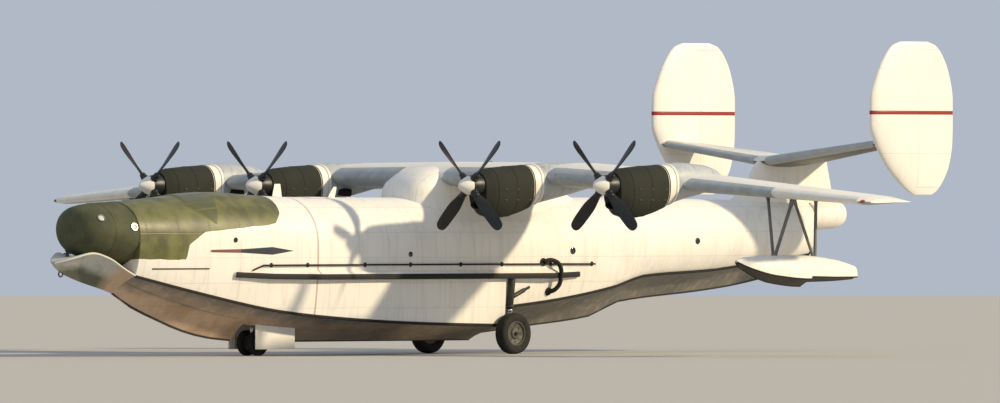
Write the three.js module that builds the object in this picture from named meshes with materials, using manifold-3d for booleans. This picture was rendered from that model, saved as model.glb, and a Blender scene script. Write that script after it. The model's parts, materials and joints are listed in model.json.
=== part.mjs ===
// Four-engined amphibian flying boat, parked on its wheels.
// Millimetres. +X is forward, +Y is port, +Z is up, and the wheels stand on Z = 0.
// Stations are given as "aft": the distance aft of the tip of the nose.

import * as THREE from 'three';
import { mergeVertices } from 'three/addons/utils/BufferGeometryUtils.js';
import Module from 'manifold-3d';

const wasm = await Module();
wasm.setup();

// Driving dimensions
const LENGTH = 34800;
const SPAN = 36000;
const JOINT_GAP = 0.3;
const PORT = 1;
const STARBOARD = -1;
const SIDES = [['port', PORT], ['starboard', STARBOARD]];

// Hull frames where the shell is split
const BOW_FRAME = 2500;
const COCKPIT_FRAME = 9800;
const STEP_FRAME = 17900;
const TAIL_FRAME = 28100;
const TRANSOM = 33000;

// Wing
const WING_BREAK = 5600;
const WING_TIP = SPAN / 2;
const FLAP_DOWN = 60;
const AILERON_THROW = 22;

// Engines and propellers
const PROP_DIAMETER = 3800;
const SPINNER_LENGTH = 800;
const SPINNER_RADIUS = 350;
const ENGINE_AXIS_Z = 5250;

// Tail
const FIN_Y = 4820;
const ELEVATOR_THROW = 25;
const RUDDER_THROW = 25;

// Undercarriage
const WHEEL_SIDES = 20;
const MAIN_TRACK = 3760;
const MAIN_AFT = 18000;
const MAIN_TYRE_RADIUS = 650;
const MAIN_TYRE_WIDTH = 400;
const NOSE_GEAR_AFT = 8500;
const NOSE_TYRE_RADIUS = 400;
const NOSE_TYRE_WIDTH = 190;
const NOSE_WHEEL_Y = 235;
const AXLE_RADIUS = 60;
const AXLE_BORE = 61.6;

// Finishes: colour, roughness, metalness
const FINISH = {
  whitePaint: [0xe9e2d3, 0.45, 0.0],
  olivePaint: [0x6d6b42, 0.6, 0.0],
  cowlPaint: [0x3a3d31, 0.6, 0.0],
  greyPaint: [0x6f6a63, 0.6, 0.0],
  darkGlass: [0x1d2226, 0.1, 0.0],
  blackBlade: [0x1b1b1b, 0.5, 0.0],
  castMetal: [0x5c5c5a, 0.5, 0.8],
  legSteel: [0x54544f, 0.45, 0.7],
  tyreRubber: [0x161616, 0.85, 0.0],
};

const model = new THREE.Group();
model.name = 'flying_boat';

const forward = (aft) => LENGTH / 2 - aft;
const radians = (degrees) => degrees * Math.PI / 180;

// Solids

function add(name, geometry, finish, place = [0, 0, 0]) {
  const [color, roughness, metalness] = FINISH[finish];
  const material = new THREE.MeshStandardMaterial({ color, roughness, metalness });
  const mesh = new THREE.Mesh(geometry, material);
  mesh.name = name;
  mesh.position.set(...place);
  model.add(mesh);
  return mesh;
}

function signedVolume(geometry) {
  const p = geometry.attributes.position;
  const corner = [new THREE.Vector3(), new THREE.Vector3(), new THREE.Vector3()];
  let six = 0;
  for (let i = 0; i < geometry.index.count; i += 3) {
    corner.forEach((v, k) => v.fromBufferAttribute(p, geometry.index.getX(i + k)));
    six += corner[0].dot(corner[1].clone().cross(corner[2]));
  }
  return six / 6;
}

// A closed skin over rings of equal count, with a fan over each end.
function loft(rings) {
  const count = rings[0].length;
  const position = rings.flat(2);
  const index = [];
  for (let r = 0; r + 1 < rings.length; r += 1) {
    for (let i = 0; i < count; i += 1) {
      const a = r * count + i;
      const b = r * count + (i + 1) % count;
      index.push(a, b, b + count, a, b + count, a + count);
    }
  }
  for (const [end, first] of [[0, 0], [rings.length - 1, (rings.length - 1) * count]]) {
    const middle = [0, 1, 2].map((k) => rings[end].reduce((sum, p) => sum + p[k], 0) / count);
    const centre = position.length / 3;
    position.push(...middle);
    for (let i = 0; i < count; i += 1) {
      const a = first + i;
      const b = first + (i + 1) % count;
      index.push(...(end === 0 ? [centre, b, a] : [centre, a, b]));
    }
  }
  const geometry = new THREE.BufferGeometry();
  geometry.setAttribute('position', new THREE.Float32BufferAttribute(position, 3));
  geometry.setIndex(index);
  if (signedVolume(geometry) < 0) {
    index.reverse();
    geometry.setIndex(index);
  }
  return geometry;
}

// Each corner of a flat outline moved out along the mean of its two edges' normals.
function grown(outline, distance) {
  if (distance === 0) {
    return outline;
  }
  const count = outline.length;
  let area = 0;
  outline.forEach(([u, v], i) => {
    const [nextU, nextV] = outline[(i + 1) % count];
    area += u * nextV - nextU * v;
  });
  const turn = Math.sign(area);
  const normals = outline.map(([u, v], i) => {
    const [nextU, nextV] = outline[(i + 1) % count];
    const length = Math.hypot(nextU - u, nextV - v);
    return [turn * (nextV - v) / length, -turn * (nextU - u) / length];
  });
  return outline.map(([u, v], i) => {
    const before = normals[(i + count - 1) % count];
    const after = normals[i];
    const mean = [before[0] + after[0], before[1] + after[1]];
    const scale = distance * 2 / (mean[0] ** 2 + mean[1] ** 2);
    return [u + mean[0] * scale, v + mean[1] * scale];
  });
}

function solid(geometry) {
  const bare = geometry.clone();
  bare.deleteAttribute('normal');
  bare.deleteAttribute('uv');
  const merged = mergeVertices(bare, 1e-3);
  return new wasm.Manifold(new wasm.Mesh({
    numProp: 3,
    vertProperties: new Float32Array(merged.attributes.position.array),
    triVerts: new Uint32Array(merged.index.array),
  }));
}

// The largest closed body of a solid, as a geometry.
function shape(manifold) {
  const bodies = manifold.decompose().sort((a, b) => b.volume() - a.volume());
  const mesh = bodies[0].getMesh();
  const geometry = new THREE.BufferGeometry();
  geometry.setAttribute('position', new THREE.BufferAttribute(new Float32Array(mesh.vertProperties), 3));
  geometry.setIndex(new THREE.BufferAttribute(new Uint32Array(mesh.triVerts), 1));
  return geometry;
}

const join = (...solids) => solids.reduce((whole, next) => whole.add(next));
const cut = (whole, ...cutters) => cutters.reduce((left, next) => left.subtract(next), whole);

// A box between two corners.
function box(low, high) {
  const size = high.map((v, k) => v - low[k]);
  const middle = high.map((v, k) => (v + low[k]) / 2);
  return new THREE.BoxGeometry(...size).translate(...middle);
}

// A round bar from one point to another; phase turns its corners about its length.
function bar(from, to, radius, { sides = 10, phase = 0 } = {}) {
  const a = new THREE.Vector3(...from);
  const b = new THREE.Vector3(...to);
  const geometry = new THREE.CylinderGeometry(radius, radius, a.distanceTo(b), sides, 1, false, phase);
  const along = b.clone().sub(a).normalize();
  const turn = new THREE.Quaternion().setFromUnitVectors(new THREE.Vector3(0, 1, 0), along);
  geometry.applyQuaternion(turn);
  return geometry.translate(...a.add(b).multiplyScalar(0.5).toArray());
}

// A solid of revolution about Y from a profile of [radius, y] that closes on the axis or on itself.
// Its flats, not its corners, point down, and a closed ring with a bore ends where it starts.
function turned(profile, sides) {
  const points = profile.map(([radius, y]) => new THREE.Vector2(radius, y));
  return new THREE.LatheGeometry(points, sides, Math.PI / sides);
}

// A geometry's triangles made to face outwards.
function outward(geometry) {
  const bare = geometry.clone();
  bare.deleteAttribute('normal');
  bare.deleteAttribute('uv');
  const merged = mergeVertices(bare, 1e-3);
  const index = [];
  for (let i = 0; i < merged.index.count; i += 3) {
    const [a, b, c] = [0, 1, 2].map((k) => merged.index.getX(i + k));
    if (a !== b && b !== c && c !== a) {
      index.push(a, b, c);
    }
  }
  merged.setIndex(index);
  if (signedVolume(merged) < 0) {
    merged.setIndex(index.reverse());
  }
  return merged;
}

// Hull

// Columns: aft, keel height, chine half-width and height, side half-width and height, top height
const FOREBODY = [
  [2500, 1930, 1050, 2500, 1270, 3720, 4760],
  [3300, 1500, 1120, 2330, 1370, 3700, 4810],
  [4400, 1100, 1200, 2100, 1450, 3650, 4900],
  [5500, 750, 1280, 1880, 1520, 3600, 5010],
  [6600, 540, 1340, 1670, 1570, 3550, 5050],
  [8000, 440, 1410, 1440, 1620, 3500, 4980],
  [9800, 420, 1490, 1250, 1660, 3400, 4900],
  [12800, 420, 1580, 1060, 1680, 3300, 4880],
  [15000, 420, 1600, 980, 1680, 3300, 4880],
  [17900, 420, 1600, 920, 1680, 3300, 4900],
];
const AFTERBODY = [
  [17900, 600, 1500, 1480, 1680, 3300, 4900],
  [20300, 830, 1420, 1700, 1640, 3300, 4900],
  [23200, 1130, 1260, 2120, 1520, 3360, 4870],
  [24500, 1580, 1150, 2430, 1450, 3400, 4860],
  [28100, 1900, 850, 2620, 1220, 3500, 4820],
  [29500, 2050, 740, 2760, 1110, 3560, 4800],
  [31500, 2380, 580, 2960, 900, 3680, 4780],
  [32700, 2620, 450, 3080, 700, 3800, 4760],
  [33000, 2900, 300, 3200, 560, 3900, 4700],
];
const DECK_STEPS = 6;
// How far up the hollow bottom is, halfway out from the keel to the chine
const BOTTOM_HOLLOW = 0.6;
// Where the flared side passes, as shares of the way out and up from the chine to the widest line
const SIDE_FLARE = { out: 0.75, up: 0.45 };
const DECK_POWER = { across: 0.92, up: 0.95 };

function hullOutline([, keel, chineY, chineZ, sideY, sideZ, top], growth = 0) {
  const half = [
    [0, keel],
    [chineY * 0.5, keel + (chineZ - keel) * BOTTOM_HOLLOW],
    [chineY, chineZ],
    [chineY + (sideY - chineY) * SIDE_FLARE.out, chineZ + (sideZ - chineZ) * SIDE_FLARE.up],
  ];
  for (let i = 0; i <= DECK_STEPS; i += 1) {
    const angle = Math.PI / 2 * i / DECK_STEPS;
    half.push([
      sideY * Math.cos(angle) ** DECK_POWER.across,
      sideZ + (top - sideZ) * Math.sin(angle) ** DECK_POWER.up,
    ]);
  }
  half[half.length - 1][0] = 0;
  const other = half.slice(1, -1).reverse().map(([y, z]) => [-y, z]);
  return grown([...half, ...other], growth);
}

// The part of a hull table between two frames, its end rings interpolated.
function hullLength(table, from, to, growth = 0) {
  const at = (aft) => {
    const after = table.findIndex((row) => row[0] >= aft);
    if (table[after][0] === aft) {
      return table[after];
    }
    const [a, b] = [table[after - 1], table[after]];
    const share = (aft - a[0]) / (b[0] - a[0]);
    return a.map((value, k) => value + (b[k] - value) * share);
  };
  const between = table.filter((row) => row[0] > from && row[0] < to);
  const rows = [at(from), ...between, at(to)];
  return loft(rows.map((row, i) => {
    const end = i === 0 ? growth : i === rows.length - 1 ? -growth : 0;
    return hullOutline(row, growth).map(([y, z]) => [forward(row[0]) + end, y, z]);
  }));
}

// Upper nose. Columns: aft, half-width, bottom, widest height, top
const NOSE = [
  [650, 330, 3560, 3940, 4290],
  [740, 620, 3330, 3930, 4490],
  [1000, 880, 3150, 3910, 4620],
  [1400, 1060, 3020, 3870, 4690],
  [1900, 1180, 2890, 3800, 4735],
  [2500, 1268, 2750, 3722, 4758],
];
const NOSE_SIDES = 20;

function noseSkin(growth = 0) {
  return loft(NOSE.map(([aft, width, bottom, middle, top]) => {
    const outline = [];
    for (let i = 0; i < NOSE_SIDES; i += 1) {
      const angle = Math.PI * 2 * i / NOSE_SIDES;
      const height = Math.sin(angle) > 0 ? top - middle : middle - bottom;
      outline.push([width * Math.cos(angle), middle + height * Math.sin(angle)]);
    }
    return grown(outline, growth).map(([y, z]) => [forward(aft), y, z]);
  }));
}

// Bow below the nose. Columns: aft, keel height, gunwale half-width and height, deck height
const BOW = [
  [0, 2810, 70, 2900, 2915],
  [300, 2600, 400, 3010, 3010],
  [950, 2360, 790, 3190, 3110],
  [1500, 2210, 930, 3040, 2990],
  [2100, 2060, 1010, 2700, 2780],
  [2500, 1930, 1050, 2500, 2760],
];
const BOW_DECK = { out: 0.8, crown: 20 };

function bowSkin() {
  return loft(BOW.map(([aft, keel, width, gunwale, deck]) => {
    const half = [
      [0, keel],
      [width * 0.5, keel + (gunwale - keel) * BOTTOM_HOLLOW],
      [width, gunwale],
      [width * BOW_DECK.out, (gunwale + deck) / 2 + BOW_DECK.crown],
      [0, deck],
    ];
    const other = half.slice(1, -1).reverse().map(([y, z]) => [-y, z]);
    return [...half, ...other].map(([y, z]) => [forward(aft), y, z]);
  }));
}

const NOSE_BAY = { from: 7550, to: 9650, halfWidth: 550, roof: 1500 };
const GLASS = { aft: 5350, z: 4720, length: 950, width: 4000, height: 780, rake: 32, thickness: 45 };

function noseBay() {
  const { from, to, halfWidth, roof } = NOSE_BAY;
  return solid(box([forward(to), -halfWidth, 0], [forward(from), halfWidth, roof]));
}

// The raked band of hull skin that is glazed.
function glassBand(growth = 0) {
  const { aft, z, length, width, height, rake } = GLASS;
  const band = new THREE.BoxGeometry(length + growth * 2, width, height + growth * 2);
  band.rotateY(radians(-rake));
  return solid(band.translate(forward(aft), 0, z));
}

const hullSkins = [
  ['hull_forward', FOREBODY, BOW_FRAME, COCKPIT_FRAME],
  ['hull_centre', FOREBODY, COCKPIT_FRAME, STEP_FRAME],
  ['hull_after', AFTERBODY, STEP_FRAME, TAIL_FRAME],
  ['hull_tail', AFTERBODY, TAIL_FRAME, TRANSOM],
].map(([name, table, from, to]) => ({
  name,
  skin: () => solid(hullLength(table, from + (from === BOW_FRAME ? JOINT_GAP : 0), to - JOINT_GAP)),
  cutter: solid(hullLength(table, from, to, JOINT_GAP)),
}));

const forwardShell = hullSkins[0].skin();
const glass = cut(forwardShell.intersect(glassBand()), solid(
  hullLength(FOREBODY, BOW_FRAME, COCKPIT_FRAME, -GLASS.thickness)));
const glassPocket = cut(glassBand(JOINT_GAP), solid(
  hullLength(FOREBODY, BOW_FRAME, COCKPIT_FRAME, -GLASS.thickness - JOINT_GAP)));

add('nose_upper', shape(solid(noseSkin())), 'olivePaint');
add('bow_lower', shape(cut(solid(bowSkin()), solid(noseSkin(JOINT_GAP)))), 'greyPaint');
add('hull_forward', shape(cut(forwardShell, noseBay(), glassPocket)), 'whitePaint');
add('windscreen', shape(glass), 'darkGlass');
add('hull_centre', shape(hullSkins[1].skin()), 'whitePaint');
add('hull_after', shape(hullSkins[2].skin()), 'whitePaint');
add('hull_tail', shape(hullSkins[3].skin()), 'whitePaint');

// Tail cone above the transom. Columns: aft, half-width, bottom, top
const TAIL_CONE = [
  [33000, 560, 3830, 4750],
  [33700, 520, 3840, 4790],
  [34300, 430, 3880, 4780],
  [34650, 300, 3980, 4690],
  [34800, 120, 4160, 4500],
];
const ROUND_SIDES = 14;

function roundRing(aft, width, bottom, top) {
  const ring = [];
  for (let i = 0; i < ROUND_SIDES; i += 1) {
    const angle = Math.PI * 2 * (i + 0.5) / ROUND_SIDES;
    ring.push([
      forward(aft),
      width * Math.cos(angle),
      (top + bottom) / 2 + (top - bottom) / 2 * Math.sin(angle),
    ]);
  }
  return ring;
}

add('tail_cone', loft(TAIL_CONE.map((row) => roundRing(...row))), 'whitePaint');

// Side ledges: a strake along each side. Columns: aft, outer half-width, bottom, top
const LEDGE = [
  [6300, 1590, 2480, 2560],
  [7800, 1750, 2420, 2640],
  [9800, 1835, 2400, 2680],
  [19800, 1835, 2400, 2680],
  [21200, 1620, 2440, 2600],
];
const LEDGE_ROOT_Y = 1300;
const LEDGE_LIP = 0.35;
const LEDGE_RISE = 260;

const ledgeCutters = {};
for (const [name, side] of SIDES) {
  const strake = (growth) => loft(LEDGE.map(([aft, outer, bottom, top]) => grown([
    [side * LEDGE_ROOT_Y, bottom],
    [side * outer, bottom],
    [side * outer, bottom + (top - bottom) * LEDGE_LIP],
    [side * LEDGE_ROOT_Y, top + LEDGE_RISE],
  ], growth).map(([y, z]) => [forward(aft), y, z])));
  const hulls = hullSkins.slice(0, 3).map(({ cutter }) => cutter);
  ledgeCutters[name] = solid(strake(JOINT_GAP));
  add(`side_ledge_${name}`, shape(cut(solid(strake(0)), ...hulls)), 'whitePaint');
}

// Wing

// Columns: spanwise y, leading edge aft, trailing edge aft, chord-line height, thickness
const CENTRE_WING = [
  [-WING_BREAK, 16100, 20600, 5490, 740],
  [0, 15700, 20600, 5500, 800],
  [WING_BREAK, 16100, 20600, 5490, 740],
];
const OUTER_WING = [
  [WING_BREAK, 16100, 20600, 5490, 740],
  [10050, 16600, 20100, 5300, 560],
  [17700, 16980, 19230, 4770, 290],
  [WING_TIP, 17250, 19050, 4750, 120],
];
const TAILPLANE = [
  [0, 30900, 33950, 6010, 400],
  [4800, 31350, 32800, 6590, 270],
];
const CHORD_SHARES = [0, 0.02, 0.08, 0.2, 0.4, 0.65, 1];
const TRAILING_EDGE = 0.035;
const CAMBER = 0.02;

// Half-thickness of the aerofoil at a share of its chord, as a share of its full thickness.
function aerofoilHalf(share) {
  const body = 2.969 * Math.sqrt(share) - 1.26 * share - 3.516 * share ** 2
    + 2.843 * share ** 3 - 1.036 * share ** 4;
  return body / 2 + TRAILING_EDGE * share;
}

function rowAt(table, y) {
  const after = table.findIndex((row, i) => i > 0 && row[0] >= y);
  const [a, b] = [table[after - 1], table[after]];
  const share = (y - a[0]) / (b[0] - a[0]);
  return a.map((value, k) => value + (b[k] - value) * share);
}

const camberLine = (row, share, camber) => row[3] + 4 * camber * (row[2] - row[1]) * share * (1 - share);

function aerofoilOutline(row, growth, camber) {
  const [, lead, trail, , thick] = row;
  const point = (share, side) => [
    lead + (trail - lead) * share,
    camberLine(row, share, camber) + side * thick * aerofoilHalf(share),
  ];
  const upper = CHORD_SHARES.map((share) => point(share, 1));
  const lower = CHORD_SHARES.slice(1).reverse().map((share) => point(share, -1));
  return grown([...upper, ...lower], growth);
}

function wingSkin(table, growth = 0, camber = CAMBER, mirror = 1) {
  return loft(table.map((row) => aerofoilOutline(row, growth, camber).map(
    ([aft, z]) => [forward(aft), mirror * row[0], z])));
}

// The point on the camber line at a spanwise place and share of the chord, with the half-thickness.
function onWing(table, y, share, camber, mirror = 1) {
  const row = rowAt(table, y);
  return {
    at: new THREE.Vector3(
      forward(row[1] + (row[2] - row[1]) * share), mirror * y, camberLine(row, share, camber)),
    half: row[4] * aerofoilHalf(share),
  };
}

// Splits a panel at a hinge: the moving surface gets a round nose about the hinge, and the fixed
// part a cove round it, cut back as far as the surface swings. The stations lie along the hinge,
// inner end first, each with its place and the panel's half-thickness there.
const HINGE_GAP = 8;
const END_GAP = 12;
const PIN_RADIUS = 20;
const PIN_BORE = 23.6;
const PIN_SIDES = 6;
const PIN_REACH = 42;
const NOSE_TURNS = 12;
const NOSE_INSET = 2;
// Longer than any panel's chord
const FAR = 1600;

function hinged(panel, stations, aftward, throws) {
  const [inner, outer] = [stations[0], stations[stations.length - 1]];
  const along = outer.at.clone().sub(inner.at);
  const length = along.length();
  along.normalize();
  const normal = new THREE.Vector3().crossVectors(along, aftward).normalize();
  const aft = new THREE.Vector3().crossVectors(normal, along).normalize();
  const middle = inner.at.clone().add(outer.at).multiplyScalar(0.5);
  const frame = new THREE.Matrix4().makeBasis(along, aft, normal).setPosition(middle);
  const slab = (extraLength, lead, thickness, angle) => {
    const geometry = new THREE.BoxGeometry(length + extraLength * 2, FAR, thickness);
    geometry.translate(0, FAR / 2 - lead, 0).rotateX(radians(angle));
    return solid(geometry.applyMatrix4(frame));
  };
  const nose = (growth, extraLength) => {
    const profile = stations.map(({ at, half }) => [half + growth, at.distanceTo(inner.at) - length / 2]);
    profile[0][1] -= extraLength;
    profile[profile.length - 1][1] += extraLength;
    const ends = [[0, profile[0][1]], [0, profile[profile.length - 1][1]]];
    const tube = turned([ends[0], ...profile, ends[1]], NOSE_TURNS).rotateZ(-Math.PI / 2);
    return solid(outward(tube.applyMatrix4(frame)));
  };
  const pin = (radius, reach, phase) => {
    const ends = [
      inner.at.clone().addScaledVector(along, -reach),
      outer.at.clone().addScaledVector(along, reach),
    ];
    return solid(bar(...ends.map((end) => end.toArray()), radius, { sides: PIN_SIDES, phase }));
  };
  const thickest = Math.max(...stations.map(({ half }) => half)) * 2;
  const moving = join(
    panel.intersect(slab(0, 0, FAR * 2, 0)), nose(-NOSE_INSET, 0), pin(PIN_RADIUS, PIN_REACH, 0));
  const swings = throws.map((angle) => slab(END_GAP, HINGE_GAP, thickest + HINGE_GAP * 2, angle));
  const fixed = cut(
    panel, slab(END_GAP, HINGE_GAP, FAR * 2, 0), nose(HINGE_GAP, END_GAP), ...swings,
    pin(PIN_BORE, PIN_REACH + JOINT_GAP, Math.PI / PIN_SIDES));
  return { moving, fixed, hinge: { at: inner.at.toArray(), axis: along.toArray() } };
}

const AFTWARD = new THREE.Vector3(-1, 0, 0);

// Flaps and ailerons. Columns: inner and outer spanwise y, hinge share of the chord
const INNER_FLAP = [1500, 5520, 0.76];
const OUTER_FLAP = [5700, 11500, 0.76];
const AILERON = [11650, 17300, 0.76];

let centreWing = solid(wingSkin(CENTRE_WING));
const centreWingCutter = solid(wingSkin(CENTRE_WING, JOINT_GAP));
const outerWingCutter = {};

for (const [name, side] of SIDES) {
  const [inner, outer, share] = INNER_FLAP;
  const flap = hinged(
    centreWing,
    [inner, outer].map((y) => onWing(CENTRE_WING, y, share, CAMBER, side)),
    AFTWARD, [side * -FLAP_DOWN, side * -FLAP_DOWN / 2]);
  centreWing = flap.fixed;
  add(`flap_inner_${name}`, shape(flap.moving), 'whitePaint').userData.hinge = flap.hinge;
}

for (const [name, side] of SIDES) {
  const skin = OUTER_WING.map((row, i) => (i === 0 ? rowAt(OUTER_WING, WING_BREAK + JOINT_GAP) : row));
  let wing = solid(wingSkin(skin, 0, CAMBER, side));
  outerWingCutter[name] = solid(wingSkin(OUTER_WING, JOINT_GAP, CAMBER, side));
  for (const [kind, [inner, outer, share], throws] of [
    ['flap_outer', OUTER_FLAP, [-FLAP_DOWN, -FLAP_DOWN / 2]],
    ['aileron', AILERON, [-AILERON_THROW, AILERON_THROW]],
  ]) {
    const surface = hinged(
      wing,
      [inner, outer].map((y) => onWing(OUTER_WING, y, share, CAMBER, side)),
      AFTWARD, throws.map((angle) => angle * side));
    wing = surface.fixed;
    add(`${kind}_${name}`, shape(surface.moving), 'whitePaint').userData.hinge = surface.hinge;
  }
  add(`wing_outer_${name}`, shape(wing), 'whitePaint');
}

// Jacking pads: flat discs under the front of the centre wing.
const JACK_PAD = { aft: 17300, y: 2700, radius: 110, face: 5040, root: 5400, sides: 16 };
for (const [, side] of SIDES) {
  const at = [forward(JACK_PAD.aft), side * JACK_PAD.y];
  const { face, root, radius, sides } = JACK_PAD;
  const pad = bar([...at, face], [...at, root], radius, { sides });
  centreWing = join(centreWing, solid(pad));
}
add('wing_centre', shape(centreWing), 'whitePaint');

// Fairing that carries the wing above the hull. Columns: aft, half-width, top
const FAIRING = [
  [13900, 560, 4920],
  [14400, 860, 5280],
  [15100, 1000, 5660],
  [15900, 1040, 5850],
  [18500, 1040, 5870],
  [20100, 980, 5700],
  [21200, 760, 5240],
  [22100, 460, 4900],
];
const FAIRING_FOOT = { widen: 1.42, z: 4150 };
const FAIRING_FLANK = { out: 1.1, up: 0.72 };
const FAIRING_WAIST = { z: 4980, share: 0.8 };
const FAIRING_CROWN = { steps: 5, power: 0.75 };

// Half the outline runs out at the foot, in to the waist and over the rounded crown.
function fairingRing([aft, width, top]) {
  const { widen, z } = FAIRING_FOOT;
  const { steps, power } = FAIRING_CROWN;
  const waist = Math.min(FAIRING_WAIST.z, z + (top - z) * FAIRING_WAIST.share);
  const half = [[0, z], [width * widen, z], [width * FAIRING_FLANK.out, z + (waist - z) * FAIRING_FLANK.up]];
  for (let i = 0; i <= steps; i += 1) {
    const angle = Math.PI / 2 * i / steps;
    half.push([width * Math.cos(angle) ** power, waist + (top - waist) * Math.sin(angle) ** power]);
  }
  half[half.length - 1][0] = 0;
  const other = half.slice(1, -1).reverse().map(([y, height]) => [-y, height]);
  return [...half, ...other].map(([y, height]) => [forward(aft), y, height]);
}

add('wing_fairing', shape(cut(
  solid(loft(FAIRING.map(fairingRing))),
  hullSkins[1].cutter, hullSkins[2].cutter, centreWingCutter)), 'whitePaint');

// Engines

// Columns: name, side, spanwise y, spinner tip aft, stretch and rise of the nacelle over the wing
const ENGINES = [
  ['outer_port', PORT, 10050, 13300, 0.75, -60],
  ['inner_port', PORT, 4700, 12800, 1, 0],
  ['inner_starboard', STARBOARD, 4700, 12800, 1, 0],
  ['outer_starboard', STARBOARD, 10050, 13300, 0.75, -60],
];
// Columns: aft of the spinner tip, half-width, above the shaft, below the shaft
const COWL = [
  [825, 400, 410, 760],
  [1050, 500, 500, 930],
  [1600, 590, 570, 1000],
  [2400, 610, 620, 860],
  [3040, 600, 650, 600],
];
const NACELLE = [
  [3040, 600, 650, 600],
  [3900, 580, 710, 440],
  [5000, 500, 710, 220],
  [5900, 340, 640, 20],
  [6350, 160, 560, -160],
];
const COWL_SIDES = 16;
const COWL_POWER = 0.85;
const COWL_WALL = 60;
// How far the cowl's inside is carried past its back, so that it ends open
const COWL_RUN_OUT = 200;
const SHAFT_HOLE = { radius: 240, sides: 16 };
const INTAKE = { below: 590, halfWidth: 270, halfHeight: 130, depth: 400, sides: 16 };
const SHAFT_GAP = 25;
const ENGINE = { snoutRadius: 200, snoutLength: 300, setback: 200, radius: 340, drop: 20, sides: 14 };

function podRing([aft, width, above, below], y, tip, drop, growth = 0) {
  const outline = [];
  for (let i = 0; i < COWL_SIDES; i += 1) {
    const angle = Math.PI * 2 * (i + 0.5) / COWL_SIDES;
    const soften = (value) => Math.sign(value) * Math.abs(value) ** COWL_POWER;
    const middle = (above - below) / 2;
    outline.push([
      y + width * soften(Math.cos(angle)),
      ENGINE_AXIS_Z + drop + middle + (above + below) / 2 * soften(Math.sin(angle)),
    ]);
  }
  return grown(outline, growth).map(([across, z]) => [forward(tip + aft), across, z]);
}

function engineBlock() {
  const back = COWL[COWL.length - 1][0] - JOINT_GAP;
  const front = SPINNER_LENGTH + SHAFT_GAP;
  const { snoutRadius, snoutLength, setback, radius, drop, sides } = ENGINE;
  const snout = bar([-front, 0, 0], [-front - snoutLength, 0, 0], snoutRadius, { sides });
  const block = bar([-front - setback, 0, -drop], [-back, 0, -drop], radius, { sides });
  return join(solid(snout), solid(block));
}

// Blade. Columns: radius, chord, thickness, pitch in degrees from the plane of rotation
const BLADE = [
  [250, 150, 120, 60],
  [520, 220, 80, 54],
  [1000, 340, 46, 41],
  [1720, 290, 22, 28],
  [PROP_DIAMETER / 2, 130, 12, 25],
];
const BLADES = 4;
const BLADE_CORNERS = 6;
const BLADE_AFT = 470;
const SPINNER = { steps: 4, bluntness: 1.9, power: 0.7, sides: 16 };
const SHAFT = { from: 700, radius: 150, sides: 12 };

function blade(turn) {
  const rings = BLADE.map(([radius, chord, thick, pitch]) => {
    const ring = [];
    for (let i = 0; i < BLADE_CORNERS; i += 1) {
      const angle = Math.PI * 2 * i / BLADE_CORNERS;
      const across = chord / 2 * Math.cos(angle);
      const deep = thick / 2 * Math.sin(angle);
      const lean = radians(pitch);
      ring.push([
        across * Math.sin(lean) - deep * Math.cos(lean),
        across * Math.cos(lean) + deep * Math.sin(lean),
        radius,
      ]);
    }
    return ring;
  });
  return solid(loft(rings).rotateX(turn).translate(-BLADE_AFT, 0, 0));
}

// The propeller's origin is the tip of its spinner, on the shaft's axis.
function propeller() {
  const profile = [[0, 0]];
  const { steps, bluntness, power, sides } = SPINNER;
  for (let i = 1; i <= steps; i += 1) {
    const share = i / steps;
    profile.push([SPINNER_RADIUS * (1 - (1 - share) ** bluntness) ** power, -SPINNER_LENGTH * share]);
  }
  profile.push([0, -SPINNER_LENGTH]);
  const spinner = outward(turned(profile, sides).rotateZ(-Math.PI / 2));
  const shaftEnd = -SPINNER_LENGTH - SHAFT_GAP + JOINT_GAP;
  const shaft = bar([-SHAFT.from, 0, 0], [shaftEnd, 0, 0], SHAFT.radius, { sides: SHAFT.sides });
  const blades = [];
  for (let i = 0; i < BLADES; i += 1) {
    blades.push(blade(Math.PI / BLADES + Math.PI * 2 * i / BLADES));
  }
  return join(solid(spinner), solid(shaft), ...blades);
}

for (const [name, side, span, tip, stretch, rise] of ENGINES) {
  const y = side * span;
  const outer = span > WING_BREAK;
  const wing = outer ? outerWingCutter[side === PORT ? 'port' : 'starboard'] : centreWingCutter;
  const shell = solid(loft(COWL.map((row, i) => podRing(
    i === COWL.length - 1 ? [row[0] - JOINT_GAP, ...row.slice(1)] : row, y, tip, 0))));
  const inside = COWL.map((row, i) => {
    const shift = i === 0 ? COWL_WALL : i === COWL.length - 1 ? COWL_RUN_OUT : 0;
    return podRing([row[0] + shift, ...row.slice(1)], y, tip, 0, -COWL_WALL);
  });
  const nose = forward(tip + COWL[0][0]);
  const shaftHole = bar(
    [nose + COWL_WALL, y, ENGINE_AXIS_Z], [nose - COWL_WALL * 3, y, ENGINE_AXIS_Z],
    SHAFT_HOLE.radius, { sides: SHAFT_HOLE.sides });
  const intake = new THREE.CylinderGeometry(1, 1, INTAKE.depth, INTAKE.sides).rotateZ(Math.PI / 2)
    .scale(1, INTAKE.halfWidth, INTAKE.halfHeight)
    .translate(nose, y, ENGINE_AXIS_Z - INTAKE.below);
  add(`cowl_${name}`, shape(cut(shell, solid(loft(inside)), solid(shaftHole), solid(intake))), 'cowlPaint');
  add(`engine_${name}`, shape(engineBlock()), 'castMetal', [forward(tip), y, ENGINE_AXIS_Z]);
  add(`nacelle_${name}`, shape(cut(
    solid(loft(NACELLE.map((row, i) => podRing(
      [NACELLE[0][0] + (row[0] - NACELLE[0][0]) * stretch, ...row.slice(1)], y, tip, i > 1 ? rise : 0)))),
    wing)), 'whitePaint');
  add(`propeller_${name}`, shape(propeller()), 'blackBlade', [forward(tip), y, ENGINE_AXIS_Z]);
}

// Wing floats

const FLOAT_Y = 14600;
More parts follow.
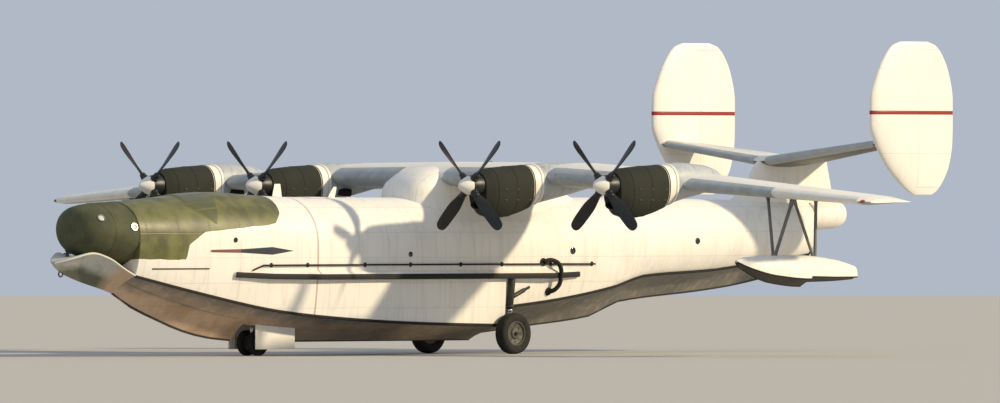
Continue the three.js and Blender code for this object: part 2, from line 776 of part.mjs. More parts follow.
// Columns: aft, half-width, keel height, chine height, deck height
const FLOAT = [
  [14900, 50, 2880, 2920, 2980],
  [15300, 260, 2600, 2730, 3060],
  [16200, 440, 2290, 2510, 3110],
  [17700, 500, 2150, 2400, 3110],
  [17740, 490, 2290, 2470, 3110],
  [19000, 390, 2320, 2450, 3000],
  [20000, 230, 2380, 2450, 2790],
];
const FLOAT_SIDE_UP = 0.55;
const FLOAT_SHOULDER = { out: 0.62, down: 0.12 };

function floatSkin(side, growth = 0) {
  return loft(FLOAT.map(([aft, width, keel, chine, deck]) => {
    const half = [
      [0, keel],
      [width, chine],
      [width, chine + (deck - chine) * FLOAT_SIDE_UP],
      [width * FLOAT_SHOULDER.out, deck - (deck - chine) * FLOAT_SHOULDER.down],
      [0, deck],
    ];
    const other = half.slice(1, -1).reverse().map(([y, z]) => [-y, z]);
    return grown([...half, ...other], growth).map(([y, z]) => [forward(aft), side * FLOAT_Y + y, z]);
  }));
}

// Struts. Columns: from aft, y, z, to aft, y, z, radius
const STRUT_SIDES = 10;
const STRUTS = [
  [16520, 14600, 3020, 17300, 13600, 5050, 50],
  [16560, 14600, 3020, 17400, 14600, 4870, 56],
  [18320, 14600, 2960, 17400, 14600, 4870, 46],
  [18350, 14600, 2920, 18400, 14600, 5000, 52],
];

for (const [name, side] of SIDES) {
  add(`float_${name}`, shape(solid(floatSkin(side))), 'whitePaint');
  const rods = STRUTS.map(([aftA, yA, zA, aftB, yB, zB, radius]) => solid(
    bar([forward(aftA), side * yA, zA], [forward(aftB), side * yB, zB], radius, { sides: STRUT_SIDES })));
  add(`float_struts_${name}`, shape(cut(
    join(...rods), solid(floatSkin(side, JOINT_GAP)), outerWingCutter[name])), 'legSteel');
}

// Tail

// Columns: height, leading edge aft, trailing edge aft, thickness
const FIN = [
  [4960, 32950, 33800, 80],
  [5060, 32720, 34000, 150],
  [5320, 32320, 34270, 260],
  [5910, 31680, 34600, 370],
  [6590, 31210, 34740, 420],
  [7180, 30980, 34760, 420],
  [7970, 31000, 34760, 380],
  [8750, 31280, 34600, 310],
  [9430, 31720, 34250, 210],
  [9700, 32020, 33950, 140],
  [9800, 32350, 33600, 70],
];
const RUDDER_HINGE_AFT = 33050;
const RUDDER = { bottom: 5200, top: 9560 };

function finSkin(side, growth = 0) {
  return loft(FIN.map(([z, lead, trail, thick]) => {
    const upper = CHORD_SHARES.map((share) => [lead + (trail - lead) * share, thick * aerofoilHalf(share)]);
    const lower = upper.slice(1).reverse().map(([aft, y]) => [aft, -y]);
    return grown([...upper, ...lower], growth).map(([aft, y]) => [forward(aft), side * FIN_Y + y, z]);
  }));
}

function onFin(z, side) {
  const row = rowAt(FIN, z);
  const share = (RUDDER_HINGE_AFT - row[1]) / (row[2] - row[1]);
  return {
    at: new THREE.Vector3(forward(RUDDER_HINGE_AFT), side * FIN_Y, z),
    half: row[3] * aerofoilHalf(share),
  };
}

// Pylon under the tailplane. Columns: height, leading edge aft, trailing edge aft, thickness
const PYLON = [
  [4500, 29300, 34300, 800],
  [4900, 29800, 34250, 640],
  [5400, 30350, 34150, 480],
  [5990, 30800, 34000, 400],
  [6150, 31300, 33700, 300],
];

const pylon = solid(loft(PYLON.map(([z, lead, trail, thick]) => {
  const upper = CHORD_SHARES.map((share) => [lead + (trail - lead) * share, thick * aerofoilHalf(share)]);
  const lower = upper.slice(1).reverse().map(([aft, y]) => [aft, -y]);
  return [...upper, ...lower].map(([aft, y]) => [forward(aft), y, z]);
})));
const TAIL_CAMBER = 0;
const ELEVATOR = [420, 4420, 0.64];
const fullTailplane = [
  [-TAILPLANE[1][0], ...TAILPLANE[1].slice(1)],
  ...TAILPLANE,
];
const tailConeCutter = solid(loft(TAIL_CONE.map(([aft, width, bottom, top], i) => roundRing(
  aft - (i === 0 ? 1 : 0), width + JOINT_GAP, bottom - JOINT_GAP, top + JOINT_GAP))));

let tailplane = cut(
  solid(wingSkin(fullTailplane, 0, TAIL_CAMBER)),
  solid(finSkin(PORT, JOINT_GAP)), solid(finSkin(STARBOARD, JOINT_GAP)));
add('tail_pylon', shape(cut(
  pylon, solid(wingSkin(fullTailplane, JOINT_GAP, TAIL_CAMBER)),
  hullSkins[2].cutter, hullSkins[3].cutter, tailConeCutter)), 'whitePaint');

for (const [name, side] of SIDES) {
  const [inner, outer, share] = ELEVATOR;
  const elevator = hinged(
    tailplane,
    [inner, outer].map((y) => onWing(TAILPLANE, y, share, TAIL_CAMBER, side)),
    AFTWARD, [-ELEVATOR_THROW, ELEVATOR_THROW]);
  tailplane = elevator.fixed;
  add(`elevator_${name}`, shape(elevator.moving), 'whitePaint').userData.hinge = elevator.hinge;
  const heights = FIN.map(([z]) => z).filter((z) => z > RUDDER.bottom && z < RUDDER.top);
  const rudder = hinged(
    solid(finSkin(side)), [RUDDER.bottom, ...heights, RUDDER.top].map((z) => onFin(z, side)),
    AFTWARD, [-RUDDER_THROW, RUDDER_THROW]);
  add(`fin_${name}`, shape(rudder.fixed), 'whitePaint');
  add(`rudder_${name}`, shape(rudder.moving), 'whitePaint').userData.hinge = rudder.hinge;
}
add('tailplane', shape(tailplane), 'whitePaint');

// Undercarriage

const flatDown = Math.cos(Math.PI / WHEEL_SIDES);
const MAIN_AXLE_Z = MAIN_TYRE_RADIUS * flatDown;
const NOSE_AXLE_Z = NOSE_TYRE_RADIUS * flatDown;

// Half a wheel's outline. Columns: share of its radius, share of its half-width
const WHEEL_FACE = [
  [0.25, 0.72],
  [0.51, 0.54],
  [0.55, 0.9],
  [0.86, 1],
  [1, 0.6],
];
const HUB_WIDTH = WHEEL_FACE[0][1];

// A tyre on its hub about Y. With a bore it is a ring, and without one it is solid on its axis.
function wheel(radius, width, bore) {
  const hub = width / 2 * HUB_WIDTH;
  const face = WHEEL_FACE.map(([r, y]) => [radius * r, width / 2 * y]);
  const inside = face.map(([r, y]) => [r, -y]).reverse();
  const profile = [[bore, hub], ...face, ...inside, [bore, -hub]];
  if (bore > 0) {
    profile.push(profile[0]);
  }
  return outward(turned(profile, WHEEL_SIDES));
}

// Main leg. Columns: from aft, y, z, to aft, y, z, radius, sides
const MAIN_LEG = [
  [18110, 1735, 2500, 18110, 1600, 1360, 78, 12],
  [18110, 1600, 1420, 18110, 1565, MAIN_AXLE_Z - 60, 68, 12],
  [MAIN_AFT, 1565, MAIN_AXLE_Z, MAIN_AFT, 2076, MAIN_AXLE_Z, AXLE_RADIUS, 16],
  [18190, 1565, MAIN_AXLE_Z, 17920, 1565, MAIN_AXLE_Z, 66, 8],
  [18440, 1735, 2430, 17950, 1735, 2430, 62, 8],
  [18110, 1640, 1740, 19010, 1575, 2080, 46, 8],
  [18170, 1565, MAIN_AXLE_Z, 18430, 1565, 1020, 36, 6],
  [18110, 1565, 1240, 18430, 1565, 1000, 36, 6],
];

for (const [name, side] of SIDES) {
  add(`main_wheel_${name}`, wheel(MAIN_TYRE_RADIUS, MAIN_TYRE_WIDTH, AXLE_BORE), 'tyreRubber',
    [forward(MAIN_AFT), side * MAIN_TRACK / 2, MAIN_AXLE_Z]);
  const leg = join(...MAIN_LEG.map(([aftA, yA, zA, aftB, yB, zB, radius, sides]) => solid(
    bar([forward(aftA), side * yA, zA], [forward(aftB), side * yB, zB], radius, { sides }))));
  const hulls = hullSkins.slice(1, 3).map(({ cutter }) => cutter);
  add(`main_leg_${name}`, shape(cut(leg, ...hulls, ledgeCutters[name])), 'legSteel');
}

const noseX = forward(NOSE_GEAR_AFT);
const twin = join(
  solid(wheel(NOSE_TYRE_RADIUS, NOSE_TYRE_WIDTH, 0).translate(0, NOSE_WHEEL_Y, 0)),
  solid(wheel(NOSE_TYRE_RADIUS, NOSE_TYRE_WIDTH, 0).translate(0, -NOSE_WHEEL_Y, 0)),
  solid(bar([0, -NOSE_WHEEL_Y, 0], [0, NOSE_WHEEL_Y, 0], AXLE_RADIUS, { sides: 16 })));
add('nose_wheels', shape(twin), 'tyreRubber', [noseX, 0, NOSE_AXLE_Z]);

// The steered post ends in a sleeve round the axle, and turns against the fixed leg at the face.
const STEERING = { faceZ: 1050, radius: 80, sleeveRadius: 105, sleeveHalf: 100, sides: 14 };
const NOSE_LEG = { radius: 115, sides: 14 };
const NOSE_BRACE = { lowZ: 1180, highZ: 1560, reach: 700, radius: 45, sides: 8 };

function noseBar(from, to, radius, options) {
  return solid(bar([noseX + from[0], from[1], from[2]], [noseX + to[0], to[1], to[2]], radius, options));
}

const { faceZ, sleeveHalf } = STEERING;
add('nose_steering', shape(cut(
  join(
    noseBar([0, 0, faceZ - JOINT_GAP], [0, 0, NOSE_AXLE_Z], STEERING.radius, { sides: STEERING.sides }),
    noseBar([0, -sleeveHalf, NOSE_AXLE_Z], [0, sleeveHalf, NOSE_AXLE_Z], STEERING.sleeveRadius,
      { sides: STEERING.sides })),
  noseBar([0, -sleeveHalf * 3, NOSE_AXLE_Z], [0, sleeveHalf * 3, NOSE_AXLE_Z], AXLE_BORE,
    { sides: 16, phase: Math.PI / 16 }))), 'legSteel');

const noseRoof = NOSE_BAY.roof - JOINT_GAP;
const aboveRoof = solid(box([noseX - 2000, -500, noseRoof], [noseX + 500, 500, 2500]));
add('nose_leg', shape(cut(
  join(
    noseBar([0, 0, faceZ], [0, 0, noseRoof], NOSE_LEG.radius, { sides: NOSE_LEG.sides }),
    noseBar([0, 0, NOSE_BRACE.lowZ], [-NOSE_BRACE.reach, 0, NOSE_BRACE.highZ], NOSE_BRACE.radius,
      { sides: NOSE_BRACE.sides })),
  aboveRoof)), 'legSteel');

const NOSE_DOOR = { from: 8050, to: 9740, inner: 575, outer: 607, bottom: 200, top: 1100 };
for (const [name, side] of SIDES) {
  const { from, to, inner, outer, bottom, top } = NOSE_DOOR;
  const [low, high] = side === PORT ? [inner, outer] : [-outer, -inner];
  const plate = solid(box([forward(to), low, bottom], [forward(from), high, top]));
  add(`nose_door_${name}`, shape(cut(plate, hullSkins[0].cutter)), 'whitePaint');
}

// Aerial mast behind the flight deck. Columns: height, leading edge aft, trailing edge aft, thickness
const MAST = [
  [4700, 9300, 9800, 60],
  [5300, 9450, 9700, 36],
];
const MAST_THICKEST = 0.35;
const mast = loft(MAST.map(([z, lead, trail, thick]) => {
  const widest = forward(lead + (trail - lead) * MAST_THICKEST);
  return [[forward(lead), 0, z], [widest, thick / 2, z], [forward(trail), 0, z], [widest, -thick / 2, z]];
}));
add('aerial_mast', shape(cut(solid(mast), hullSkins[0].cutter, hullSkins[1].cutter)), 'whitePaint');

export default model;
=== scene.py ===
"""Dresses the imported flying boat: smooth skins, glazing, engines, undercarriage, paint and the studio."""

import json
import math

import bmesh
import bpy
from bpy.props import FloatProperty, FloatVectorProperty, IntProperty, PointerProperty
from mathutils import Matrix, Vector


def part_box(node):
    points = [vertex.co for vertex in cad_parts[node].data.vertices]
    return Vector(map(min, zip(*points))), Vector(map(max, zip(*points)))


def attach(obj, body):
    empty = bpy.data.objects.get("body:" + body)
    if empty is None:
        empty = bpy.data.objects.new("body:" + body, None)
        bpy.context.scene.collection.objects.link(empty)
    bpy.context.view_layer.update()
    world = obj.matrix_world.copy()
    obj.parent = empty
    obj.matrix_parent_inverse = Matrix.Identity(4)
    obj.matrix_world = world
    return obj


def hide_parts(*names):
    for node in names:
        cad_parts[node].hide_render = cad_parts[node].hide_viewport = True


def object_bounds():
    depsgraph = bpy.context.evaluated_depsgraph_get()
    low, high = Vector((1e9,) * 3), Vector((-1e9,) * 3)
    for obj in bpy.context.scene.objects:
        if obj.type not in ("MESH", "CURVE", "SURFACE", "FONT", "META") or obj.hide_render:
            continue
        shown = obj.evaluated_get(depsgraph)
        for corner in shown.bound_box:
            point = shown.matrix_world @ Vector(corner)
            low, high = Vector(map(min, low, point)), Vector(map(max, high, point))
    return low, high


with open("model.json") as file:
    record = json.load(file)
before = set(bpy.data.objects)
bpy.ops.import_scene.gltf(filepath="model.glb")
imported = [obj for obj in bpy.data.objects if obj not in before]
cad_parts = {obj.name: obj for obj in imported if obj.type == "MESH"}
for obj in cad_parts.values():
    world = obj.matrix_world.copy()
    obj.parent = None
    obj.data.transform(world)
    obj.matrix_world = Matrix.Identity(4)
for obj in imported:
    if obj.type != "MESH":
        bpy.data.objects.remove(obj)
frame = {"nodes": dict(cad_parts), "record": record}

bl_info = {
    "name": "Flying Boat Parts",
    "version": (1, 0, 0),
    "blender": (4, 5, 0),
    "location": "View3D > Sidebar > Flying Boat",
    "description": "Models and paints a four-engined amphibian flying boat over its packed solids",
    "category": "Object",
}

CAD_BOX = [[float(value) for value in corner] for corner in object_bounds()]
NOSE_TIP = CAD_BOX[1][0]
SIDES = {"port": 1, "starboard": -1}
AIRFRAME = "airframe"


def linear(hex_colour):
    """Linear colour, with alpha, of an sRGB hex value."""
    parts = [int(hex_colour[i:i + 2], 16) / 255 for i in (1, 3, 5)]
    return tuple(c / 12.92 if c <= 0.04045 else ((c + 0.055) / 1.055) ** 2.4 for c in parts) + (1.0,)


def station(aft):
    """Forward coordinate of a place so many metres aft of the nose tip."""
    return NOSE_TIP - aft


def colour_property(name, description, hex_colour):
    """A colour that a user may change."""
    return FloatVectorProperty(
        name=name, description=description, subtype="COLOR", size=4, default=linear(hex_colour), min=0, max=1)


def length_property(name, description, metres, least):
    """A length that a user may change."""
    return FloatProperty(name=name, description=description, unit="LENGTH", default=metres, min=least)


class PaintSettings(bpy.types.PropertyGroup):
    """Colours of the finishes."""

    white: colour_property("White enamel", "Hull sides, wing and tail", "#f4f0e6")
    bottom: colour_property("Bottom paint", "Planing bottom below the chine", "#cbb095")
    olive: colour_property("Olive distemper", "Nose and flight deck", "#70703f")
    cowl: colour_property("Cowl olive", "Engine cowls", "#25281b")
    red: colour_property("Signal red", "Fin stripes and the band round the hull", "#962219")
    navy: colour_property("Navy blue", "After end of the bow stripes", "#232a3c")


class PlatingSettings(bpy.types.PropertyGroup):
    """Pitches of the plating seams."""

    frame_pitch: length_property("Frame pitch", "Distance between the seams across the hull", 1.25, 0.3)
    lap_pitch: length_property("Lap pitch", "Distance between the seams along the hull", 0.78, 0.2)
    rib_pitch: length_property("Rib pitch", "Distance between the seams across the wing", 1.5, 0.3)
    seam: length_property("Seam width", "Width of a seam, drawn wide enough to show", 0.016, 0.002)


class EngineSettings(bpy.types.PropertyGroup):
    """Sizes round the engines."""

    lip: length_property("Cowl lip", "Radius of the cowl's rolled front edge", 0.045, 0.01)
    collar: length_property("Collar length", "Length of the white collar behind a cowl", 0.1, 0.05)
    hoops: IntProperty(
        name="Cowl hoops", description="Fastening hoops round each cowl", default=3, min=1, max=6)


class StageSettings(bpy.types.PropertyGroup):
    """Camera and light."""

    distance: length_property("Camera distance", "From the middle of the boat", 550, 100)
    view_width: length_property("View width", "Width seen at the middle of the boat", 31.2, 10)
    floor_radius: length_property("Floor radius", "Radius of the pale floor", 280, 20)
    sun_height: FloatProperty(
        name="Key light height", description="Angle of the key light above the floor", subtype="ANGLE",
        default=math.radians(26.4))
    sun_aft: FloatProperty(
        name="Key light bearing", description="Angle of the key light aft of the port beam", subtype="ANGLE",
        default=math.radians(32.2))


# Lines of the boat, in metres aft of the nose tip

# Columns: aft, keel height, chine half-width and height, side half-width and height, top height
FOREBODY = [
    (2.5, 1.93, 1.05, 2.50, 1.27, 3.72, 4.76), (3.3, 1.50, 1.12, 2.33, 1.37, 3.70, 4.81),
    (4.4, 1.10, 1.20, 2.10, 1.45, 3.65, 4.90), (5.5, 0.75, 1.28, 1.88, 1.52, 3.60, 5.01),
    (6.6, 0.54, 1.34, 1.67, 1.57, 3.55, 5.05), (8.0, 0.44, 1.41, 1.44, 1.62, 3.50, 4.98),
    (9.8, 0.42, 1.49, 1.25, 1.66, 3.40, 4.90), (12.8, 0.42, 1.58, 1.06, 1.68, 3.30, 4.88),
    (15.0, 0.42, 1.60, 0.98, 1.68, 3.30, 4.88), (17.9, 0.42, 1.60, 0.92, 1.68, 3.30, 4.90),
]
AFTERBODY = [
    (17.9, 0.60, 1.50, 1.48, 1.68, 3.30, 4.90), (20.3, 0.83, 1.42, 1.70, 1.64, 3.30, 4.90),
    (23.2, 1.13, 1.26, 2.12, 1.52, 3.36, 4.87), (24.5, 1.58, 1.15, 2.43, 1.45, 3.40, 4.86),
    (28.1, 1.90, 0.85, 2.62, 1.22, 3.50, 4.82), (29.5, 2.05, 0.74, 2.76, 1.11, 3.56, 4.80),
    (31.5, 2.38, 0.58, 2.96, 0.90, 3.68, 4.78), (32.7, 2.62, 0.45, 3.08, 0.70, 3.80, 4.76),
    (33.0, 2.90, 0.30, 3.20, 0.56, 3.90, 4.70),
]
STEP = 17.9
BOTTOM_STRIPS = 6
SIDE_STRIPS = 6
DECK_STRIPS = 12
# The bottom is hollow: at half its width it is already this power of one half of the way up
HOLLOW = 0.737
# Columns: aft, half-width, bottom, widest height, top
NOSE = [
    (0.65, 0.24, 3.62, 3.94, 4.20), (0.69, 0.45, 3.45, 3.94, 4.38), (0.78, 0.66, 3.30, 3.93, 4.51),
    (1.0, 0.88, 3.15, 3.91, 4.62), (1.4, 1.06, 3.02, 3.87, 4.69), (1.9, 1.18, 2.89, 3.80, 4.735),
    (2.5, 1.268, 2.75, 3.722, 4.758),
]
# Columns: aft, keel height, gunwale half-width and height, deck height
BOW = [
    (0.0, 2.81, 0.07, 2.90, 2.915), (0.3, 2.60, 0.40, 3.01, 3.01), (0.95, 2.36, 0.79, 3.19, 3.11),
    (1.5, 2.21, 0.93, 3.04, 2.99), (2.1, 2.06, 1.01, 2.70, 2.78), (2.5, 1.93, 1.05, 2.50, 2.76),
]
# Columns: aft, half-width, bottom, top
TAIL_CONE = [
    (33.0, 0.56, 3.83, 4.75), (33.7, 0.52, 3.84, 4.79), (34.3, 0.43, 3.88, 4.78),
    (34.65, 0.28, 4.0, 4.67), (34.76, 0.16, 4.12, 4.54), (34.8, 0.05, 4.28, 4.38),
]
# Columns: aft, outer half-width, bottom
LEDGE = [(6.3, 1.59, 2.48), (7.8, 1.75, 2.42), (9.8, 1.835, 2.40), (19.8, 1.835, 2.40), (21.2, 1.62, 2.44)]
# Columns: aft, half-width, top
FAIRING = [
    (14.62, 0.24, 4.84), (14.66, 0.45, 5.04), (14.78, 0.69, 5.28), (15.0, 0.87, 5.50), (15.35, 0.98, 5.70),
    (15.9, 1.04, 5.82), (16.4, 1.04, 5.86),
    (18.5, 1.04, 5.87), (20.1, 0.98, 5.70), (21.2, 0.76, 5.24), (22.1, 0.46, 4.90), (22.6, 0.3, 4.82),
]
FAIRING_FOOT = (1.42, 4.15)
FAIRING_WAIST = 4.98
# Columns: spanwise, leading edge aft, trailing edge aft, chord-line height, thickness
CENTRE_WING = [(0.0, 15.7, 20.6, 5.50, 0.80), (5.6, 16.1, 20.6, 5.49, 0.74)]
OUTER_WING = [
    (5.6, 16.1, 20.6, 5.49, 0.74), (10.05, 16.6, 20.1, 5.30, 0.56), (17.7, 16.98, 19.23, 4.77, 0.29),
    (18.0, 17.25, 19.05, 4.75, 0.12),
]
TAILPLANE = [(0.0, 30.9, 33.95, 6.01, 0.40), (4.8, 31.35, 32.8, 6.59, 0.27)]
# Columns: height, leading edge aft, trailing edge aft, thickness
FIN = [
    (4.96, 32.95, 33.80, 0.08), (5.06, 32.72, 34.00, 0.15), (5.32, 32.32, 34.27, 0.26),
    (5.91, 31.68, 34.60, 0.37), (6.59, 31.21, 34.74, 0.42), (7.18, 30.98, 34.76, 0.42),
    (7.97, 31.00, 34.76, 0.38), (8.75, 31.28, 34.60, 0.31), (9.43, 31.72, 34.25, 0.21),
    (9.70, 32.02, 33.95, 0.14), (9.80, 32.35, 33.60, 0.07),
]
FIN_Y = 4.82
RUDDER_HINGE = 33.05
# Bottom and top of the rudder
RUDDER = (5.2, 9.56)
# Factors of the square root and the first four powers of the chord in the usual thickness of an aerofoil
AEROFOIL = (2.969, -1.26, -3.516, 2.843, -1.036)
# Columns: side, spanwise, spinner tip aft, stretch and rise of the nacelle over the wing
ENGINES = {
    "inner_port": (1, 4.7, 12.8, 1.0, 0.0), "outer_port": (1, 10.05, 13.3, 0.75, -0.06),
    "inner_starboard": (-1, 4.7, 12.8, 1.0, 0.0), "outer_starboard": (-1, 10.05, 13.3, 0.75, -0.06),
}
SHAFT_Z = 5.25
# Columns: aft of the spinner tip, half-width, above the shaft, below the shaft
COWL = [
    (0.825, 0.40, 0.41, 0.76), (1.05, 0.50, 0.50, 0.93), (1.6, 0.59, 0.57, 1.0),
    (2.4, 0.61, 0.62, 0.86), (3.03, 0.60, 0.65, 0.60),
]
NACELLE = [
    (3.04, 0.60, 0.65, 0.60), (3.9, 0.58, 0.71, 0.44), (5.0, 0.50, 0.71, 0.22), (5.9, 0.32, 0.57, 0.02),
    (6.35, 0.14, 0.40, -0.12),
]
INTAKE = {"below": 0.59, "half_width": 0.27, "half_height": 0.13}
# Columns: radius, chord, thickness, pitch in degrees from the plane of rotation
BLADE = [
    (0.25, 0.17, 0.13, 60), (0.52, 0.26, 0.10, 54), (1.0, 0.38, 0.05, 41), (1.6, 0.36, 0.026, 29),
    (1.76, 0.32, 0.02, 27), (1.84, 0.25, 0.016, 26), (1.88, 0.17, 0.012, 25), (1.9, 0.05, 0.008, 25),
]
SPINNER_RADIUS = 0.35
SPINNER_LENGTH = 0.8
BLADE_AFT = 0.47
# Columns: aft, half-width, keel height, chine height, deck height
FLOAT = [
    (14.9, 0.05, 2.88, 2.92, 2.98), (15.3, 0.26, 2.60, 2.73, 3.06), (16.2, 0.44, 2.29, 2.51, 3.11),
    (17.7, 0.50, 2.15, 2.40, 3.11), (17.74, 0.49, 2.29, 2.47, 3.11), (19.0, 0.39, 2.32, 2.45, 3.00),
    (20.0, 0.23, 2.38, 2.45, 2.79),
]
FLOAT_Y = 14.6
# Strut feet and heads: aft, spanwise, height, radius
STRUT_ENDS = [
    ((16.52, 14.6, 3.02), (17.3, 13.6, 5.05), 0.05), ((16.56, 14.6, 3.02), (17.4, 14.6, 4.87), 0.056),
    ((18.32, 14.6, 2.96), (17.4, 14.6, 4.87), 0.046), ((18.35, 14.6, 2.92), (18.4, 14.6, 5.0), 0.052),
]
MAIN_GEAR_AFT = 18.11
MAIN_RADIUS = 0.65
MAIN_WIDTH = 0.4
NOSE_RADIUS = 0.4
NOSE_WIDTH = 0.19
NOSE_WHEEL_Y = 0.235
# A tyre's share of its wheel's radius, with which it stands on the floor
TYRE_SHARE = 0.987

# Trim

# The rake is in degrees. The panes reach so far along it from their middle, and so far below.
WINDSCREEN = {"rake": 32, "aft": 5.35, "height": 4.72, "half_run": 0.475, "below": 0.39}
PANE_EDGES = [0.03, 0.5, 0.93, 1.17, 1.5]
MOORING_POST_AFT = 0.62

# Columns: name, lines, start, end. The keel shoe leaves out the nose wheels' bay.
KEEL_SHOES = [("bow", FOREBODY, 2.5, 7.5), ("middle", FOREBODY, 9.7, 17.9), ("after", AFTERBODY, 17.9, 33.0)]
RAIL_POSTS = [7.76, 9.28, 11.73, 13.7, 15.9, 17.7, 19.9, 21.8]
# Columns: aft, height, distance out from the skin
GUARD_ARM = [
    (19.55, 2.86, 0.07), (19.75, 2.93, 0.13), (20.0, 2.86, 0.2), (20.14, 2.6, 0.26), (20.14, 2.3, 0.26),
    (20.02, 2.05, 0.2), (19.9, 1.94, 0.05),
]
# Columns: aft, height, radius
HULL_WINDOWS = [(13.7, 3.12, 0.06), (20.9, 3.21, 0.09), (26.8, 3.5, 0.08), (6.27, 3.58, 0.06)]
# Columns: aft, angle up from the widest line of the nose
NOSE_LAMPS = [(1.22, 0.5), (2.3, 0.24)]
# Front and back, then bottom and top, of the cargo door in the starboard side
CARGO_DOOR = ((21.9, 23.7), (2.55, 4.25))
GASKET = 0.015
# Columns: skin, front, back, half-width
HATCHES = [
    ("hull_fore_skin", 10.6, 11.4, 0.4), ("hull_after_skin", 24.2, 24.9, 0.35),
    ("hull_fore_skin", 12.3, 12.8, 0.25),
]
# Columns: aft, deck height
AERIALS = [(11.9, 4.87), (24.0, 4.85), (26.2, 4.83)]
# Columns: height above the deck, chord, thickness
AERIAL_BLADE = [(0.0, 0.3, 0.04), (0.12, 0.26, 0.036), (0.26, 0.19, 0.028), (0.34, 0.12, 0.014)]
# Columns: name, plan, start and end across the span, camber, finish
# The grey boot finish is painted shade on the leading edges; the tips stay white.
BOOTS = [
    ("centre", CENTRE_WING, 1.0, 4.1, 0.02, "boot"),
    ("middle", CENTRE_WING, 5.25, 5.59, 0.02, "boot"),
    ("inner", OUTER_WING, 5.61, 9.45, 0.02, "boot"),
    ("outer", OUTER_WING, 10.7, 14.2, 0.02, "boot"),
    ("tip", OUTER_WING, 14.25, 17.7, 0.02, "white"),
    ("tailplane", TAILPLANE, 0.25, 4.6, 0.0, "boot"),
]
# Places round the leading edge as shares of the chord, from the top to the edge itself
BOOT_SHARES = [0.085, 0.06, 0.04, 0.024, 0.012, 0.004, 0.0]
# Columns: plan, places of the hinge fairings across the span
HINGE_FAIRINGS = [(CENTRE_WING, (2.6, 4.7)), (OUTER_WING, (7.0, 9.3, 11.3, 13.5, 15.8))]
RUDDER_GAP = 0.012
# Where the white ring at the cowl's end begins, and the white shell of the spinner ends, behind its tip
COWL_WHITE = 2.7
SPINNER_WHITE = 0.42
# Columns: distance behind the hoop, distance in from the cowl
HOOP_SECTION = [(-0.02, 0.01), (-0.016, -0.008), (0.016, -0.008), (0.02, 0.01)]
# Columns: radius, distance along the pipe
EXHAUST = [(0.12, -0.1), (0.125, 0.3), (0.13, 0.34), (0.118, 0.35), (0.105, 0.3), (0.1, 0.05)]
# Columns: height, distance in front of the leg, spanwise
BRAKE_PIPE = [(0.72, 0.1, 1.6), (1.1, 0.12, 1.6), (1.5, 0.11, 1.63), (1.9, 0.1, 1.68), (2.3, 0.09, 1.72)]

# Paint lines

# Columns: aft, height of the olive's lower edge
OLIVE_EDGE = [
    (0.0, 3.05), (4.32, 3.05), (4.42, 3.50), (5.05, 3.88), (8.05, 4.14), (8.4, 4.5), (8.7, 5.2), (9.0, 9.0),
]
# Columns: aft, half the height of the bow stripe, which is red in front of its split and navy behind it
BOW_STRIPE = [(0.0, 0.0), (5.25, 0.0), (5.3, 0.04), (6.6, 0.06), (7.8, 0.12), (8.7, 0.0), (9.9, 0.0)]
BOW_STRIPE_Z = 3.24
BOW_STRIPE_SPLIT = 6.5
BAND_AFT = 9.72
BAND_HALF = 0.035
# Columns: a quarter of the distance aft, height of the chine
CHINE_LINE = [
    (0.0, 2.5), (0.63, 2.5), (1.1, 2.1), (1.65, 1.67), (2.45, 1.25), (4.4, 0.95), (5.8, 2.12), (8.1, 3.1),
]
# Columns: aft, height below which the pale bow is painted in grey-green shade
BOW_SHADE_LINE = [(0.0, 2.68), (0.95, 2.72), (1.5, 2.60), (2.1, 2.35), (9.0, 2.35)]
FIN_STRIPE_Z = 7.55
FIN_STRIPE_HALF = 0.06
OLIVE_PATCHES = "#50512d"
FADED_RED = "#7c4a4c"

# Stage

# Colour and strength of the sky, then colour, strength and width in degrees of the key light
SKY = ("#bfc8d6", 0.84)
KEY_LIGHT = ("#ffebc6", 3.6, 2.5)
VIEW_CENTRE = (-0.95, 0.95, 4.75)


# Mesh tools


def deselect():
    """Leaves nothing selected, so that the next operator acts on the next piece alone."""
    if bpy.context.object and bpy.context.object.mode != "OBJECT":
        bpy.ops.object.mode_set(mode="OBJECT")
    bpy.ops.object.select_all(action="DESELECT")


def pick(piece):
    """Selects one piece alone and makes it active."""
    deselect()
    piece.select_set(True)
    bpy.context.view_layer.objects.active = piece


def edit(piece):
    """Opens a piece in edit mode and gives its mesh."""
    pick(piece)
    bpy.ops.object.mode_set(mode="EDIT")
    return bmesh.from_edit_mesh(piece.data)


def settle(piece):
    """Merges a closed piece's doubles and turns its faces outwards."""
    edit(piece)
    bpy.ops.mesh.select_all(action="SELECT")
    bpy.ops.mesh.remove_doubles(threshold=0.00005)
    bpy.ops.mesh.normals_make_consistent(inside=False)
    deselect()
    return piece


def modify(piece, kind, **settings):
    """Adds a modifier and applies it."""
    pick(piece)
    modifier = piece.modifiers.new(kind.title(), kind)
    for key, value in settings.items():
        setattr(modifier, key, value)
    bpy.ops.object.modifier_apply(modifier=modifier.name)
    return piece


def copied(piece, name, matrix=None):
    """A copy of a piece with a mesh of its own, moved or turned by a matrix."""
    other = bpy.data.objects.new(name, piece.data.copy())
    bpy.context.scene.collection.objects.link(other)
    if matrix is not None:
        other.data.transform(matrix)
    return other


def mirrored(piece, name):
    """The same piece on the other side of the boat."""
    return settle(copied(piece, name, Matrix.Diagonal((1, -1, 1, 1))))


